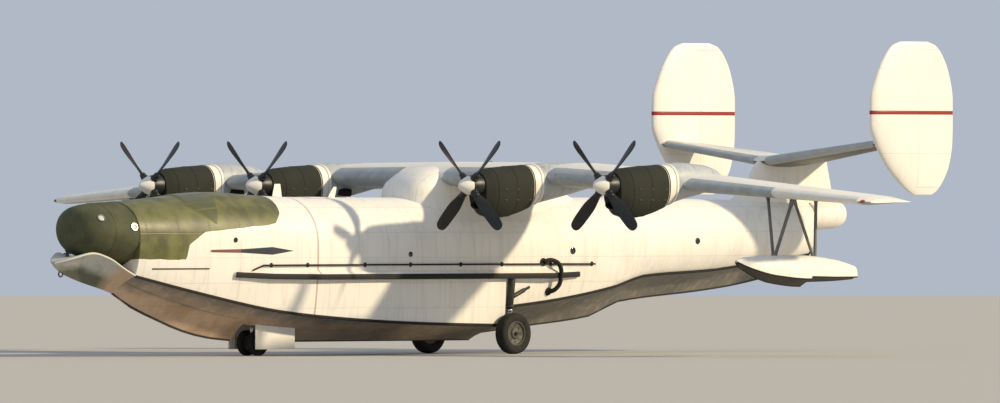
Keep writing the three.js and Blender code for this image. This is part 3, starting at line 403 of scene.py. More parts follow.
def close_ends(piece):
    """Closes each open end of a skin with a face of its own."""
    shell = bmesh.from_edit_mesh(piece.data)
    start = next((edge for edge in shell.edges if len(edge.link_faces) == 1), None)
    while start:
        bpy.ops.mesh.select_all(action="DESELECT")
        corner, edge = start.verts[1], start
        start.select_set(True)
        while corner != start.verts[0]:
            edge = next(e for e in corner.link_edges if len(e.link_faces) == 1 and e != edge)
            edge.select_set(True)
            corner = edge.other_vert(corner)
        bmesh.update_edit_mesh(piece.data)
        bpy.ops.mesh.edge_face_add()
        shell = bmesh.from_edit_mesh(piece.data)
        start = next((edge for edge in shell.edges if len(edge.link_faces) == 1), None)


def loft(name, rings, closed=False):
    """A skin drawn out ring by ring: each ring is extruded from the last and set in its place.
    A closed one joins its last ring to its first, and any other gets a face over each end."""
    deselect()
    bpy.ops.mesh.primitive_circle_add(vertices=len(rings[0]), radius=0.1)
    piece = bpy.context.object
    piece.name = name
    bpy.ops.object.transform_apply(location=True, rotation=True, scale=True)
    shell = edit(piece)
    bpy.ops.mesh.select_all(action="SELECT")
    loop = list(range(len(rings[0])))
    for number, ring in enumerate(rings):
        shell.verts.ensure_lookup_table()
        if number:
            bpy.ops.mesh.extrude_region_move()
            shell = bmesh.from_edit_mesh(piece.data)
            shell.verts.ensure_lookup_table()
            shell.verts.index_update()
            loop = [next(
                edge.other_vert(shell.verts[index]).index for edge in shell.verts[index].link_edges
                if edge.other_vert(shell.verts[index]).select) for index in loop]
        for index, place in zip(loop, ring):
            shell.verts[index].co = place
    bpy.ops.mesh.select_mode(type="EDGE")
    bpy.ops.mesh.select_all(action="DESELECT")
    if closed:
        bpy.ops.mesh.select_non_manifold()
        bpy.ops.mesh.bridge_edge_loops()
    else:
        close_ends(piece)
    bpy.ops.mesh.select_all(action="SELECT")
    bpy.ops.mesh.normals_make_consistent(inside=False)
    deselect()
    return piece


def merged(node, name, dissolve=0.4):
    """A copy of a CAD node with its triangles joined up and its flat faces made whole."""
    piece = copied(frame["nodes"][node], name)
    piece.data.materials.clear()
    edit(piece)
    bpy.ops.mesh.select_all(action="SELECT")
    bpy.ops.mesh.remove_doubles(threshold=0.00005)
    bpy.ops.mesh.dissolve_limited(angle_limit=math.radians(dissolve))
    deselect()
    return piece


def patch(source, name, planes, proud, thick=0.02):
    """A plate that follows a skin, cut to the inner side of each plane and standing a little proud.
    A plane is a point on it and its outward normal."""
    piece = copied(source, name)
    piece.data.materials.clear()
    edit(piece)
    for point, normal in planes:
        bpy.ops.mesh.select_all(action="SELECT")
        bpy.ops.mesh.bisect(plane_co=point, plane_no=normal, clear_outer=True)
    deselect()
    if not piece.data.polygons:
        raise ValueError(f"nothing is left of {name}")
    for polygon in piece.data.polygons:
        polygon.material_index = 0
    return modify(piece, "SOLIDIFY", thickness=thick, offset=2 * proud / thick - 1)


def side_box(aft, z, side, y=0.1):
    """The planes of a box on one side of the hull between two stations and two heights."""
    return [
        ((station(aft[0]), 0, 0), (1, 0, 0)), ((station(aft[1]), 0, 0), (-1, 0, 0)),
        ((0, 0, z[0]), (0, 0, -1)), ((0, 0, z[1]), (0, 0, 1)), ((0, side * y, 0), (0, -side, 0))]


def circle(centre, across, upward, radius, sides):
    """A round ring about a point, in the plane of two directions."""
    return [
        centre + radius * (across * math.cos(math.tau * i / sides) + upward * math.sin(math.tau * i / sides))
        for i in range(sides)]


def bar(name, start, end, radius, sides=16, end_radius=None, bevel=0.2):
    """A round bar between two points, its rims bevelled by a share of its radius."""
    start, end = Vector(start), Vector(end)
    deselect()
    bpy.ops.mesh.primitive_cone_add(
        vertices=sides, radius1=radius, radius2=radius if end_radius is None else end_radius,
        depth=(end - start).length, location=(start + end) / 2,
        rotation=(end - start).to_track_quat("Z", "Y").to_euler())
    piece = bpy.context.object
    piece.name = name
    bpy.ops.object.transform_apply(location=True, rotation=True, scale=True)
    if bevel:
        modify(piece, "BEVEL", width=radius * bevel, segments=2, limit_method="ANGLE",
               angle_limit=math.radians(50))
    return piece


def tube(name, path, radius, sides=12):
    """A round tube bent along a path of points that never runs straight out sideways."""
    rings = []
    for i, point in enumerate(path):
        run = path[min(i + 1, len(path) - 1)] - path[max(i - 1, 0)]
        across = run.cross(Vector((0, 1, 0))).normalized()
        upward = across.cross(run).normalized()
        rings.append(circle(point, across, upward, radius, sides))
    return loft(name, rings)


def carried(name, path, section):
    """A strip: a flat section of sideways and upward offsets carried along a path of points."""
    return loft(name, [[Vector(point) + Vector((0, dy, dz)) for dy, dz in section] for point in path])


def block(name, low, high, bevel=0.01):
    """A box between two corners with its edges bevelled."""
    low, high = Vector(low), Vector(high)
    deselect()
    bpy.ops.mesh.primitive_cube_add(size=1, location=(low + high) / 2, scale=high - low)
    piece = bpy.context.object
    piece.name = name
    bpy.ops.object.transform_apply(location=True, rotation=True, scale=True)
    return modify(piece, "BEVEL", width=bevel, segments=2)


def turned(profile, centre, axis, sides=32):
    """Rings about an axis through a point, from a profile of radius and distance along the axis."""
    axis = Vector(axis).normalized()
    across = axis.cross(Vector((0, 0, 1))).normalized()
    upward = across.cross(axis)
    return [circle(Vector(centre) + axis * out, across, upward, radius, sides) for radius, out in profile]


def joined(name, pieces):
    """Several meshes as one piece."""
    deselect()
    for piece in pieces:
        piece.select_set(True)
    bpy.context.view_layer.objects.active = pieces[0]
    if len(pieces) > 1:
        bpy.ops.object.join()
    pieces[0].name = name
    return pieces[0]


def dress(piece, finish, body=AIRFRAME, nodes=(), angle=35):
    """Gives a finished piece its finish, shading, body, slot and the nodes that it stands for."""
    pick(piece)
    bpy.ops.object.shade_smooth_by_angle(angle=math.radians(angle))
    if finish:
        piece.data.materials.clear()
        piece.data.materials.append(FINISHES[finish])
    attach(piece, body)
    if nodes:
        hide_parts(*nodes)


def dress_pair(piece, name, finish):
    """Dresses a port piece and its mirror image on the other side."""
    other = mirrored(piece, f"{name}_starboard")
    piece.name = f"{name}_port"
    dress(piece, finish)
    dress(other, finish)


def body_of(node):
    """The body that a node belongs to."""
    for body, nodes in frame["record"]["behaviour"]["bodies"].items():
        if node in nodes:
            return body
    raise ValueError(f"no body holds {node}")


def along(rows, value):
    """A row of a table at a value of its first column, on a smooth curve that overshoots no row."""
    after = next(i for i in range(1, len(rows)) if rows[i][0] >= value - 1e-9)
    a, b = rows[after - 1], rows[after]
    width = b[0] - a[0]
    t = (value - a[0]) / width

    def rate(index, column):
        return (rows[index + 1][column] - rows[index][column]) / (rows[index + 1][0] - rows[index][0])

    def slope(index, column):
        if 0 < index < len(rows) - 1:
            left, right = rate(index - 1, column), rate(index, column)
            return 0.0 if left * right <= 0 else 2 * left * right / (left + right)
        if len(rows) == 2:
            return rate(0, column)
        edge, inner = (0, 1) if index == 0 else (index - 1, index - 1)
        return 1.5 * rate(edge, column) - 0.5 * slope(inner, column)

    row = [value]
    for column in range(1, len(a)):
        row.append(
            (2 * t ** 3 - 3 * t ** 2 + 1) * a[column] + (3 * t ** 2 - 2 * t ** 3) * b[column]
            + (t ** 3 - 2 * t ** 2 + t) * width * slope(after - 1, column)
            + (t ** 3 - t ** 2) * width * slope(after, column))
    return row


def straight(rows, value):
    """A row of a table at a value of its first column, on straight lines between its rows."""
    after = next(i for i in range(1, len(rows)) if rows[i][0] >= value - 1e-9)
    a, b = rows[after - 1], rows[after]
    t = (value - a[0]) / (b[0] - a[0])
    return [first + (second - first) * t for first, second in zip(a, b)]


def steps(rows, pitch, start=None, end=None):
    """Places along a table at about an even pitch, its own rows among them."""
    start = rows[0][0] if start is None else start
    end = rows[-1][0] if end is None else end
    knots = [start] + [row[0] for row in rows if start < row[0] < end] + [end]
    places = []
    for a, b in zip(knots, knots[1:]):
        count = max(1, round((b - a) / pitch))
        places += [a + (b - a) * i / count for i in range(count)]
    return places + [end]


def both_halves(half):
    """A whole outline from its port half, whose first and last points lie on the middle line."""
    return half + [(-y, z) for y, z in reversed(half[1:-1])]


# Materials


def add_node(tree, kind, inputs=None, output=0, **settings):
    """Adds a node with its settings and links, and gives one of its outputs."""
    node = tree.nodes.new(kind)
    for key, value in settings.items():
        setattr(node, key, value)
    for key, value in (inputs or {}).items():
        if isinstance(value, bpy.types.NodeSocket):
            tree.links.new(value, node.inputs[key])
        else:
            node.inputs[key].default_value = value
    return node.outputs[output]


def start_finish(name, metallic=0.0, roughness=0.5, ior=1.5):
    """A new material with its tree, its shader and the piece's own coordinates."""
    material = bpy.data.materials.new(name)
    material.use_nodes = True
    tree = material.node_tree
    shader = tree.nodes["Principled BSDF"]
    shader.inputs["Metallic"].default_value = metallic
    shader.inputs["Roughness"].default_value = roughness
    shader.inputs["IOR"].default_value = ior
    return material, tree, shader, add_node(tree, "ShaderNodeTexCoord", output="Object")


def plating(tree, axes, pitches, offsets, width):
    """The seams of a plating grid, one on them and nought between, and the rivets along their sides.
    Both are drawn about twice as coarse as real ones, so that they show."""
    lines, dots = [], []
    for axis, pitch, offset, along_seam in zip("XYZ", pitches, offsets, "ZXX"):
        if not pitch:
            continue
        shifted = add_node(tree, "ShaderNodeMath", {0: axes[axis], 1: offset})
        away = add_node(tree, "ShaderNodeMath", {0: shifted, 1: pitch / 2}, operation="PINGPONG")
        lines.append(add_node(tree, "ShaderNodeMapRange", {
            "Value": away, "From Min": width * 0.35, "From Max": width, "To Min": 1.0, "To Max": 0.0}))
        beside = add_node(tree, "ShaderNodeMath", {0: away, 1: width * 2.4}, operation="SUBTRACT")
        bead = add_node(tree, "ShaderNodeMath", {0: axes[along_seam], 1: width * 3}, operation="PINGPONG")
        apart = add_node(tree, "ShaderNodeCombineXYZ", {0: beside, 1: bead})
        far = add_node(tree, "ShaderNodeVectorMath", {0: apart}, output="Value", operation="LENGTH")
        dots.append(add_node(tree, "ShaderNodeMapRange", {
            "Value": far, "From Min": width * 0.4, "From Max": width * 0.8, "To Min": 1.0, "To Max": 0.0}))
    for masks in (lines, dots):
        while len(masks) > 1:
            masks.append(add_node(
                tree, "ShaderNodeMath", {0: masks.pop(), 1: masks.pop()}, operation="MAXIMUM"))
    return lines[0], dots[0]


def plate_enamel(
        name, colour, pitches, offsets=(0, 0, 0), grime=0.3, roughness=0.4, dirt="#6a5f4e", marks=None):
    """Enamel sprayed over riveted aluminium sheet. It gives the eye a soft gloss with faint seams and
    rivet rows, plates that quilt a little between frames, rain streaks and a film of dust."""
    seam = bpy.context.scene.boat_plating.seam
    material, tree, shader, place = start_finish(name, roughness=roughness)
    axes = add_node(tree, "ShaderNodeSeparateXYZ", {0: place}).node.outputs
    lines, dots = plating(tree, axes, pitches, offsets, seam)
    base = marks(tree, axes, place, tuple(colour)) if marks else tuple(colour)
    # Rain streaks are about 0.2 m wide and 2 m long, and patches of dust about 1.5 m across.
    down = add_node(tree, "ShaderNodeMapping", {"Vector": place, "Scale": (5.0, 5.0, 0.5)})
    rain = add_node(tree, "ShaderNodeTexNoise", {
        "Vector": down, "Scale": 1.0, "Detail": 5.0, "Roughness": 0.6})
    streaks = add_node(tree, "ShaderNodeMapRange", {
        "Value": rain, "From Min": 0.5, "From Max": 0.8, "To Max": grime})
    dust = add_node(tree, "ShaderNodeTexNoise", {"Vector": place, "Scale": 0.7, "Detail": 3.0})
    patches = add_node(tree, "ShaderNodeMapRange", {
        "Value": dust, "From Min": 0.4, "From Max": 0.75, "To Max": grime * 0.4})
    worn = base
    for share in (streaks, patches):
        worn = add_node(tree, "ShaderNodeMix", {0: share, 6: worn, 7: linear(dirt)}, 2, data_type="RGBA")
    for mask, share in ((lines, 0.14), (dots, 0.06)):
        faint = add_node(tree, "ShaderNodeMath", {0: mask, 1: share}, operation="MULTIPLY")
        worn = add_node(tree, "ShaderNodeMix", {0: faint, 6: worn, 7: linear("#4a443b")}, 2, data_type="RGBA")
    tree.links.new(worn, shader.inputs["Base Color"])
    tree.links.new(add_node(tree, "ShaderNodeMapRange", {
        "Value": dust, "To Min": roughness - 0.1, "To Max": roughness + 0.2}), shader.inputs["Roughness"])
    quilt = add_node(tree, "ShaderNodeTexNoise", {"Vector": place, "Scale": 1.6, "Detail": 1.0})
    raised = add_node(tree, "ShaderNodeMath", {0: dots, 1: lines}, operation="SUBTRACT")
    height = add_node(tree, "ShaderNodeMath", {0: quilt, 1: 0.8, 2: raised}, operation="MULTIPLY_ADD")
    tree.links.new(add_node(tree, "ShaderNodeBump", {
        "Height": height, "Strength": 0.3, "Distance": 0.01}), shader.inputs["Normal"])
    return material


def drawn_line(tree, aft, points):
    """The second value of a line of points at a distance aft; both are under ten."""
    share = add_node(tree, "ShaderNodeMath", {0: aft, 1: 0.1}, operation="MULTIPLY")
    ramp = add_node(tree, "ShaderNodeValToRGB", {0: share})
    elements = ramp.node.color_ramp.elements
    for number, (where, value) in enumerate(points):
        element = elements[number] if number < 2 else elements.new(where / 10)
        element.position = where / 10
        element.color = (value / 10,) * 3 + (1.0,)
    return add_node(tree, "ShaderNodeMath", {0: ramp, 1: 10.0}, operation="MULTIPLY")


def hull_marks(tree, axes, place, white):
    """Olive over the nose and flight deck, a red band round the hull and a stripe on each bow."""
    paint = bpy.context.scene.boat_paint
    aft = add_node(tree, "ShaderNodeMath", {0: NOSE_TIP, 1: axes["X"]}, operation="SUBTRACT")
    ragged = add_node(tree, "ShaderNodeTexNoise", {"Vector": place, "Scale": 1.5, "Detail": 3.0})
    height = add_node(tree, "ShaderNodeMath", {0: ragged, 1: 0.12, 2: axes["Z"]}, operation="MULTIPLY_ADD")
    edge = drawn_line(tree, aft, OLIVE_EDGE)
    covered = add_node(tree, "ShaderNodeMath", {0: height, 1: edge}, operation="GREATER_THAN")
    blotch = add_node(tree, "ShaderNodeTexNoise", {"Vector": place, "Scale": 1.7, "Detail": 5.0})
    tone = add_node(tree, "ShaderNodeMapRange", {"Value": blotch, "From Min": 0.4, "From Max": 0.65})
    olive = add_node(tree, "ShaderNodeMix", {
        0: tone, 6: tuple(paint.olive), 7: linear(OLIVE_PATCHES)}, 2, data_type="RGBA")
    colour = add_node(tree, "ShaderNodeMix", {0: covered, 6: white, 7: olive}, 2, data_type="RGBA")
    band = add_node(tree, "ShaderNodeMath", {0: aft, 1: BAND_AFT, 2: BAND_HALF}, operation="COMPARE")
    shown = add_node(tree, "ShaderNodeMath", {0: band, 1: 0.5}, operation="MULTIPLY")
    colour = add_node(tree, "ShaderNodeMix", {0: shown, 6: colour, 7: tuple(paint.red)}, 2, data_type="RGBA")
    half = drawn_line(tree, aft, BOW_STRIPE)
    off_line = add_node(tree, "ShaderNodeMath", {0: axes["Z"], 1: BOW_STRIPE_Z}, operation="SUBTRACT")
    off_line = add_node(tree, "ShaderNodeMath", {0: off_line}, operation="ABSOLUTE")
    stripe = add_node(tree, "ShaderNodeMath", {0: off_line, 1: half}, operation="LESS_THAN")
    rear = add_node(tree, "ShaderNodeMath", {0: aft, 1: BOW_STRIPE_SPLIT}, operation="GREATER_THAN")
    tint = add_node(tree, "ShaderNodeMix", {
        0: rear, 6: linear(FADED_RED), 7: tuple(paint.navy)}, 2, data_type="RGBA")
    return add_node(tree, "ShaderNodeMix", {0: stripe, 6: colour, 7: tint}, 2, data_type="RGBA")


def bottom_marks(tree, axes, place, tan):
    """Brown water stains, and a grey painted shade under the chine that spreads down towards the stern."""
    aft = add_node(tree, "ShaderNodeMath", {0: NOSE_TIP, 1: axes["X"]}, operation="SUBTRACT")
    far = add_node(tree, "ShaderNodeMath", {0: aft, 1: 0.25}, operation="MULTIPLY")
    chine = drawn_line(tree, far, CHINE_LINE)
    cloud = add_node(tree, "ShaderNodeTexNoise", {
        "Vector": place, "Scale": 0.9, "Detail": 5.0, "Roughness": 0.6})
    # Painted shade: grey under the chine, and over more of the bottom towards the stern.
    below = add_node(tree, "ShaderNodeMath", {0: chine, 1: axes["Z"]}, operation="SUBTRACT")
    wavy = add_node(tree, "ShaderNodeMath", {0: cloud, 1: -0.5, 2: below}, operation="MULTIPLY_ADD")
    band = add_node(tree, "ShaderNodeMapRange", {
        "Value": wavy, "From Min": -0.15, "From Max": 0.25, "To Min": 0.85, "To Max": 0.0})
    stern = add_node(tree, "ShaderNodeMapRange", {
        "Value": aft, "From Min": 8.0, "From Max": 18.0, "To Max": 0.9})
    painted_shade = add_node(tree, "ShaderNodeMath", {0: band, 1: stern}, operation="MAXIMUM")
    stain = add_node(tree, "ShaderNodeMapRange", {
        "Value": cloud, "From Min": 0.42, "From Max": 0.62, "To Max": 0.5})
    colour = add_node(tree, "ShaderNodeMix", {0: stain, 6: tan, 7: linear("#8f6f4d")}, 2, data_type="RGBA")
    return add_node(tree, "ShaderNodeMix", {0: painted_shade, 6: colour, 7: linear("#676b6b")}, 2, data_type="RGBA")


def bow_marks(tree, axes, place, pale):
    """Pale under the gunwale and grey-green painted shade below, with the bottom paint behind it."""
    aft = add_node(tree, "ShaderNodeMath", {0: NOSE_TIP, 1: axes["X"]}, operation="SUBTRACT")
    cloud = add_node(tree, "ShaderNodeTexNoise", {
        "Vector": place, "Scale": 2.5, "Detail": 5.0, "Roughness": 0.6})
    line = drawn_line(tree, aft, BOW_SHADE_LINE)
    above = add_node(tree, "ShaderNodeMath", {0: axes["Z"], 1: line}, operation="SUBTRACT")
    wavy = add_node(tree, "ShaderNodeMath", {0: cloud, 1: 0.3, 2: above}, operation="MULTIPLY_ADD")
    light = add_node(tree, "ShaderNodeMapRange", {"Value": wavy, "From Min": 0.05, "From Max": 0.3})
    # Grey-green below the line is painted shade.
    colour = add_node(tree, "ShaderNodeMix", {0: light, 6: linear("#5b5f50"), 7: pale}, 2, data_type="RGBA")
    behind = add_node(tree, "ShaderNodeMapRange", {"Value": aft, "From Min": 1.75, "From Max": 2.2})
    tan = tuple(bpy.context.scene.boat_paint.bottom)
    return add_node(tree, "ShaderNodeMix", {0: behind, 6: colour, 7: tan}, 2, data_type="RGBA")


def fin_marks(tree, axes, place, white):
    """A red stripe across each fin and rudder."""
    stripe = add_node(
        tree, "ShaderNodeMath", {0: axes["Z"], 1: FIN_STRIPE_Z, 2: FIN_STRIPE_HALF}, operation="COMPARE")
    red = tuple(bpy.context.scene.boat_paint.red)
    return add_node(tree, "ShaderNodeMix", {0: stripe, 6: white, 7: red}, 2, data_type="RGBA")


def mottled(name, colour, second, patch_size, roughness=0.7, share=0.6, relief=0.3, metallic=0.0):
    """A coat with a second tone in patches of a size in metres, under a grain of about 15 mm, which is
    drawn many times as coarse as a real one so that it shows."""
    material, tree, shader, place = start_finish(name, metallic=metallic, roughness=roughness)
    cloud = add_node(tree, "ShaderNodeTexNoise", {
        "Vector": place, "Scale": 1 / patch_size, "Detail": 5.0, "Roughness": 0.6})
    patches = add_node(tree, "ShaderNodeMapRange", {
        "Value": cloud, "From Min": 0.38, "From Max": 0.66, "To Max": share})
    tree.links.new(add_node(tree, "ShaderNodeMix", {
        0: patches, 6: tuple(colour), 7: linear(second)}, 2, data_type="RGBA"), shader.inputs["Base Color"])
    grain = add_node(tree, "ShaderNodeTexNoise", {"Vector": place, "Scale": 65.0, "Detail": 2.0})
    tree.links.new(add_node(tree, "ShaderNodeMapRange", {
        "Value": grain, "To Min": max(0.05, roughness - 0.12), "To Max": min(1.0, roughness + 0.12)}),
        shader.inputs["Roughness"])
    tree.links.new(add_node(tree, "ShaderNodeBump", {
        "Height": grain, "Strength": relief, "Distance": 0.004}), shader.inputs["Normal"])
    return material


def glass(name, colour, roughness=0.08, coat=1.0):
    """Toughened glass seen against what lies close behind it: a cloudy tone under a hard, clear gloss."""
    material, tree, shader, place = start_finish(name, roughness=roughness, ior=1.52)
    shader.inputs["Coat Weight"].default_value = coat
    shader.inputs["Coat Roughness"].default_value = 0.03
    cloud = add_node(tree, "ShaderNodeTexNoise", {"Vector": place, "Scale": 3.0, "Detail": 2.0})
    deep = tuple(part * 0.6 for part in linear(colour)[:3]) + (1.0,)
    tree.links.new(add_node(tree, "ShaderNodeMix", {
        0: cloud, 6: linear(colour), 7: deep}, 2, data_type="RGBA"), shader.inputs["Base Color"])
    return material


FINISHES = {}


def make_finishes():
    """Every finish of the boat, by its common name."""
    paint, sizes = bpy.context.scene.boat_paint, bpy.context.scene.boat_plating
    hull = (sizes.frame_pitch, 0, sizes.lap_pitch)
    ribs = (0, sizes.rib_pitch, 0)
    FINISHES.update({
        # Gloss enamel sprayed on the hull: chalky white, with rain streaks running down from the deck.
        "hull enamel": plate_enamel(
            "sprayed_hull_enamel", paint.white, hull, (0.35, 0, 0.1), 0.2, marks=hull_marks),
        # The same enamel stays cleaner on the wing, with its seams over the ribs.
        "wing enamel": plate_enamel("sprayed_wing_enamel", paint.white, ribs, (0, 0.75, 0), 0.15),
        # The fins are the cleanest and brightest.
        "fin enamel": plate_enamel(
            "sprayed_fin_enamel", paint.white, (0, 0, 1.35), (0, 0, 0.5), 0.1, marks=fin_marks),
        # Spray keeps the floats a little dirtier.
        "float enamel": plate_enamel(
            "sprayed_float_enamel", paint.white, (0.9, 0, 0), (0.1, 0, 0), 0.25),
        # Pale blue-grey on the nacelles is painted shade, streaked with exhaust soot.
        "nacelle enamel": plate_enamel(
            "sprayed_nacelle_enamel", linear("#b6bcbe"), (0.75, 0, 0), (0.2, 0, 0), 0.6, dirt="#3c3a36"),
        # Antifouling brushed on below the chine: matt, and worn to rust and salt by the ramp, with grey
        # painted shade under the chine and towards the stern.
        "bottom paint": plate_enamel(
            "brushed_bottom_paint", paint.bottom, hull, (0.35, 0, 0), 0.4, 0.62, "#d8c4a8", bottom_marks),
        # The bow piece is pale enamel, with grey-green painted shade over its lower part.
        "bow enamel": plate_enamel(
            "water_stained_bow_enamel", linear("#c3c4bd"), (0.8, 0, 0), (0.2, 0, 0), 0.35, 0.5, "#6c6c5f",
            bow_marks),
        # Mid-grey on the lower faces of the tailplane is painted shade, flat and dark from below.
        "grey underside shade": plate_enamel(
            "grey_underside_enamel", linear("#6c6d66"), ribs, (0, 0.75, 0), 0.3, 0.5, "#4a4a44"),
        # Pale blue-grey under the wing is painted shade, tinted like the sky's light.
        "wing underside": plate_enamel(
            "pale_underside_enamel", linear("#b0b7ba"), ribs, (0, 0.75, 0), 0.25, 0.45),
        # The covers over the nose are painted canvas, matt and darker than the hull behind them.
        "nose olive": mottled("painted_nose_canvas", linear("#54573a"), "#373a28", 0.5, 0.8, 0.7, 0.35),
        # Faired steel tube under grey enamel, half matt.
        "strut enamel": mottled("enamelled_steel_strut", linear("#7d7c76"), "#54534e", 0.3, 0.5, 0.5, 0.15),
        # The floats' bottoms are brown-black and half matt.
        "float bottom": mottled(
            "brushed_float_bottom_paint", linear("#4c4438"), "#2e2b25", 0.5, 0.6, 0.6, 0.2),
        # Distemper brushed on by hand dries matt, in lighter and darker patches.
        "olive": mottled("brushed_olive_distemper", paint.olive, OLIVE_PATCHES, 0.6, 0.72, 0.75, 0.25),
        # The cowls' distemper is darkened by oil, and the flattest of all.
        "cowl": mottled("brushed_cowl_distemper", paint.cowl, "#1d1f17", 0.7, 0.85, 0.7, 0.2),
        # Small fittings are sprayed in gloss enamel, nearly free of grain.
        "white": mottled("sprayed_white_enamel", paint.white, "#d6cfbe", 0.4, 0.32, 0.4, 0.08),
        # Blades are coated black, and the coat is rubbed thin in places.
        "blade": mottled("sprayed_blade_black", linear("#171818"), "#292928", 0.2, 0.42, 0.5, 0.1),
        # Moulded rubber greys with dust and scuffing.
        "rubber": mottled("moulded_tyre_rubber", linear("#161615"), "#34312d", 0.2, 0.85, 0.5, 0.4),
        # Vulcanised sheet rubber on the leading edges, mottled where rain rubs it; its grey is painted shade
        # on the edges that face forward.
        "boot": mottled("vulcanised_boot_rubber", linear("#b0b6b8"), "#8d9497", 0.35, 0.6, 0.5, 0.15),
        # Extruded fender rubber stays black where the water washes it.
        "fender": mottled("extruded_fender_rubber", linear("#0d0d0d"), "#191918", 0.3, 0.7, 0.4, 0.2),
        # Drawn steel tube under grey paint, chipped darker.
        "steel": mottled("painted_steel_tube", linear("#3b3a36"), "#262522", 0.12, 0.5, 0.6, 0.2, 0.3),
        # Cast magnesium is grainy and half matt.
        "hub": mottled("cast_magnesium", linear("#62605a"), "#423f3b", 0.1, 0.5, 0.5, 0.3, 0.4),
        # Hard chrome on the oleo rods is bright and smooth.
        "chrome": mottled("hard_chrome", linear("#c9c9c6"), "#b0afab", 0.2, 0.15, 0.3, 0.02, 1.0),
        # Sand-cast aluminium has the coarsest grain.
        "cast": mottled("sand_cast_aluminium", linear("#6f6d68"), "#4b4a46", 0.08, 0.55, 0.6, 0.5, 0.8),
        # Rolled aluminium left bare reflects softly.
        "aluminium": mottled("rolled_aluminium", linear("#b7b5af"), "#8f8d88", 0.15, 0.35, 0.5, 0.1, 1.0),
        # Near-black, as soot in the exhausts and as painted shade in the intake ducts and gaps.
        "soot": mottled("soot_coated_steel", linear("#111110"), "#1d1c1a", 0.25, 0.8, 0.5, 0.2),
        # Flight deck panes with blinds drawn behind them: dull, and nearly the olive of their frame.
        "blinded glass": glass("glass_over_olive_blinds", "#5f603a", 0.35, 0.15),
        # Toughened panes of the hull look black, with a hard glint.
        "dark glass": glass("toughened_glass", "#1c2326"),
        # Pressed lamp glasses: red and green ones, and a clear one drawn near-white, whose pale tone paints
        # the glint on the lamps.
        "lamp glass": glass("pressed_lamp_glass", "#f2eddc"),
        "red glass": glass("red_lamp_glass", "#8c1a14"),
        "green glass": glass("green_lamp_glass", "#14663a"),
    })


# Hull


def hull_half(row):
    """The port half of the hull's outline: a hollow bottom, a hard chine, full sides and a round deck."""
    _, keel, chine_y, chine_z, side_y, side_z, top = row
    half = []
    for i in range(BOTTOM_STRIPS):
        t = i / BOTTOM_STRIPS
        half.append((chine_y * t, keel + (chine_z - keel) * t ** HOLLOW))
    for i in range(SIDE_STRIPS):
        t = i / SIDE_STRIPS
        half.append((chine_y + (side_y - chine_y) * (1 - (1 - t) ** 2.32), chine_z + (side_z - chine_z) * t))
    for i in range(DECK_STRIPS):
        angle = math.pi / 2 * i / DECK_STRIPS
        half.append((side_y * math.cos(angle) ** 0.92, side_z + (top - side_z) * math.sin(angle) ** 0.95))
    return half + [(0.0, top)]


def hull_row(aft):
    """The hull's lines at a station."""
    return along(FOREBODY if aft < STEP else AFTERBODY, aft)


def on_hull(aft, height, side=1, out=0.0):
    """A point on the side of the hull, so far out along the skin's normal, and that normal."""
    half = hull_half(hull_row(aft))
    (y0, z0), (y1, z1) = next(pair for pair in zip(half, half[1:]) if pair[0][1] <= height <= pair[1][1])
    normal = Vector((0, side * (z1 - z0), y0 - y1)).normalized()
    y = y0 + (y1 - y0) * (height - z0) / (z1 - z0)
    return Vector((station(aft), side * y, height)) + normal * out, normal


def hull_skin(name, table):
    """One length of the hull, its bottom in a second material slot."""
    places = steps(table, 0.4)
    rings = [[(station(aft), y, z) for y, z in both_halves(hull_half(along(table, aft)))] for aft in places]
    piece = loft(name, rings)
    piece.data.materials.append(FINISHES["hull enamel"])
    piece.data.materials.append(FINISHES["bottom paint"])
    for face in piece.data.polygons:
        aft = NOSE_TIP - face.center.x
        if places[0] < aft < places[-1]:
            _, keel, chine_y, chine_z, *_ = along(table, aft)
            out = abs(face.center.y) / chine_y
            bottom = keel + (chine_z - keel) * min(1.0, out) ** HOLLOW
            if out < 1 and face.center.z < bottom + 0.02:
                face.material_index = 1
    return piece


class BOAT_OT_hull(bpy.types.Operator):
    """Skins the hull from the bow frame to the transom, and the tail cone"""

    bl_idname = "boat.hull"
    bl_label = "Hull"

    def execute(self, context):
        fore = hull_skin("hull_fore_skin", FOREBODY)
        bay = block("bay_cutter", (station(9.65), -0.55, 0.0), (station(7.55), 0.55, 1.5), 0.005)
        modify(fore, "BOOLEAN", object=bay, operation="DIFFERENCE", solver="EXACT")
        bpy.data.objects.remove(bay)
        dress(fore, None, nodes=("hull_forward", "hull_centre"))
        after = hull_skin("hull_after_skin", AFTERBODY)
        dress(after, None, nodes=("hull_after", "hull_tail"))
        rings = []
        for aft in steps(TAIL_CONE, 0.12):
            _, width, bottom, top = along(TAIL_CONE, aft)
            rings.append([(
                station(aft), width * math.cos(math.tau * i / 32),
                (top + bottom) / 2 + (top - bottom) / 2 * math.sin(math.tau * i / 32)) for i in range(32)])
        dress(loft("tail_cone_skin", rings), "hull enamel", nodes=("tail_cone",))
        return {"FINISHED"}


def on_nose(aft, angle):
    """A point on the upper nose at a station and an angle up from its widest line."""
    _, width, bottom, middle, top = along(NOSE, aft)
    reach = top - middle if math.sin(angle) > 0 else middle - bottom
    return Vector((station(aft), width * math.cos(angle), middle + reach * math.sin(angle)))


def window(name, centre, normal, radius, finish, metal="aluminium", rim=0.035):
    """A round window: a rolled metal rim standing proud of the skin, and its glass."""
    edge = [
        (radius + rim, -0.03), (radius + rim, 0.01), (radius + rim * 0.75, 0.022),
        (radius + rim * 0.3, 0.022), (radius, 0.01), (radius, -0.03)]
    dress(loft(f"{name}_rim", turned(edge, centre, normal, 28), closed=True), metal)
    pane = [(radius * 1.01, -0.02), (radius * 1.01, 0.0), (radius * 0.8, 0.008), (radius * 0.4, 0.012)]
    dress(loft(f"{name}_glass", turned(pane, centre, normal, 28)), finish)


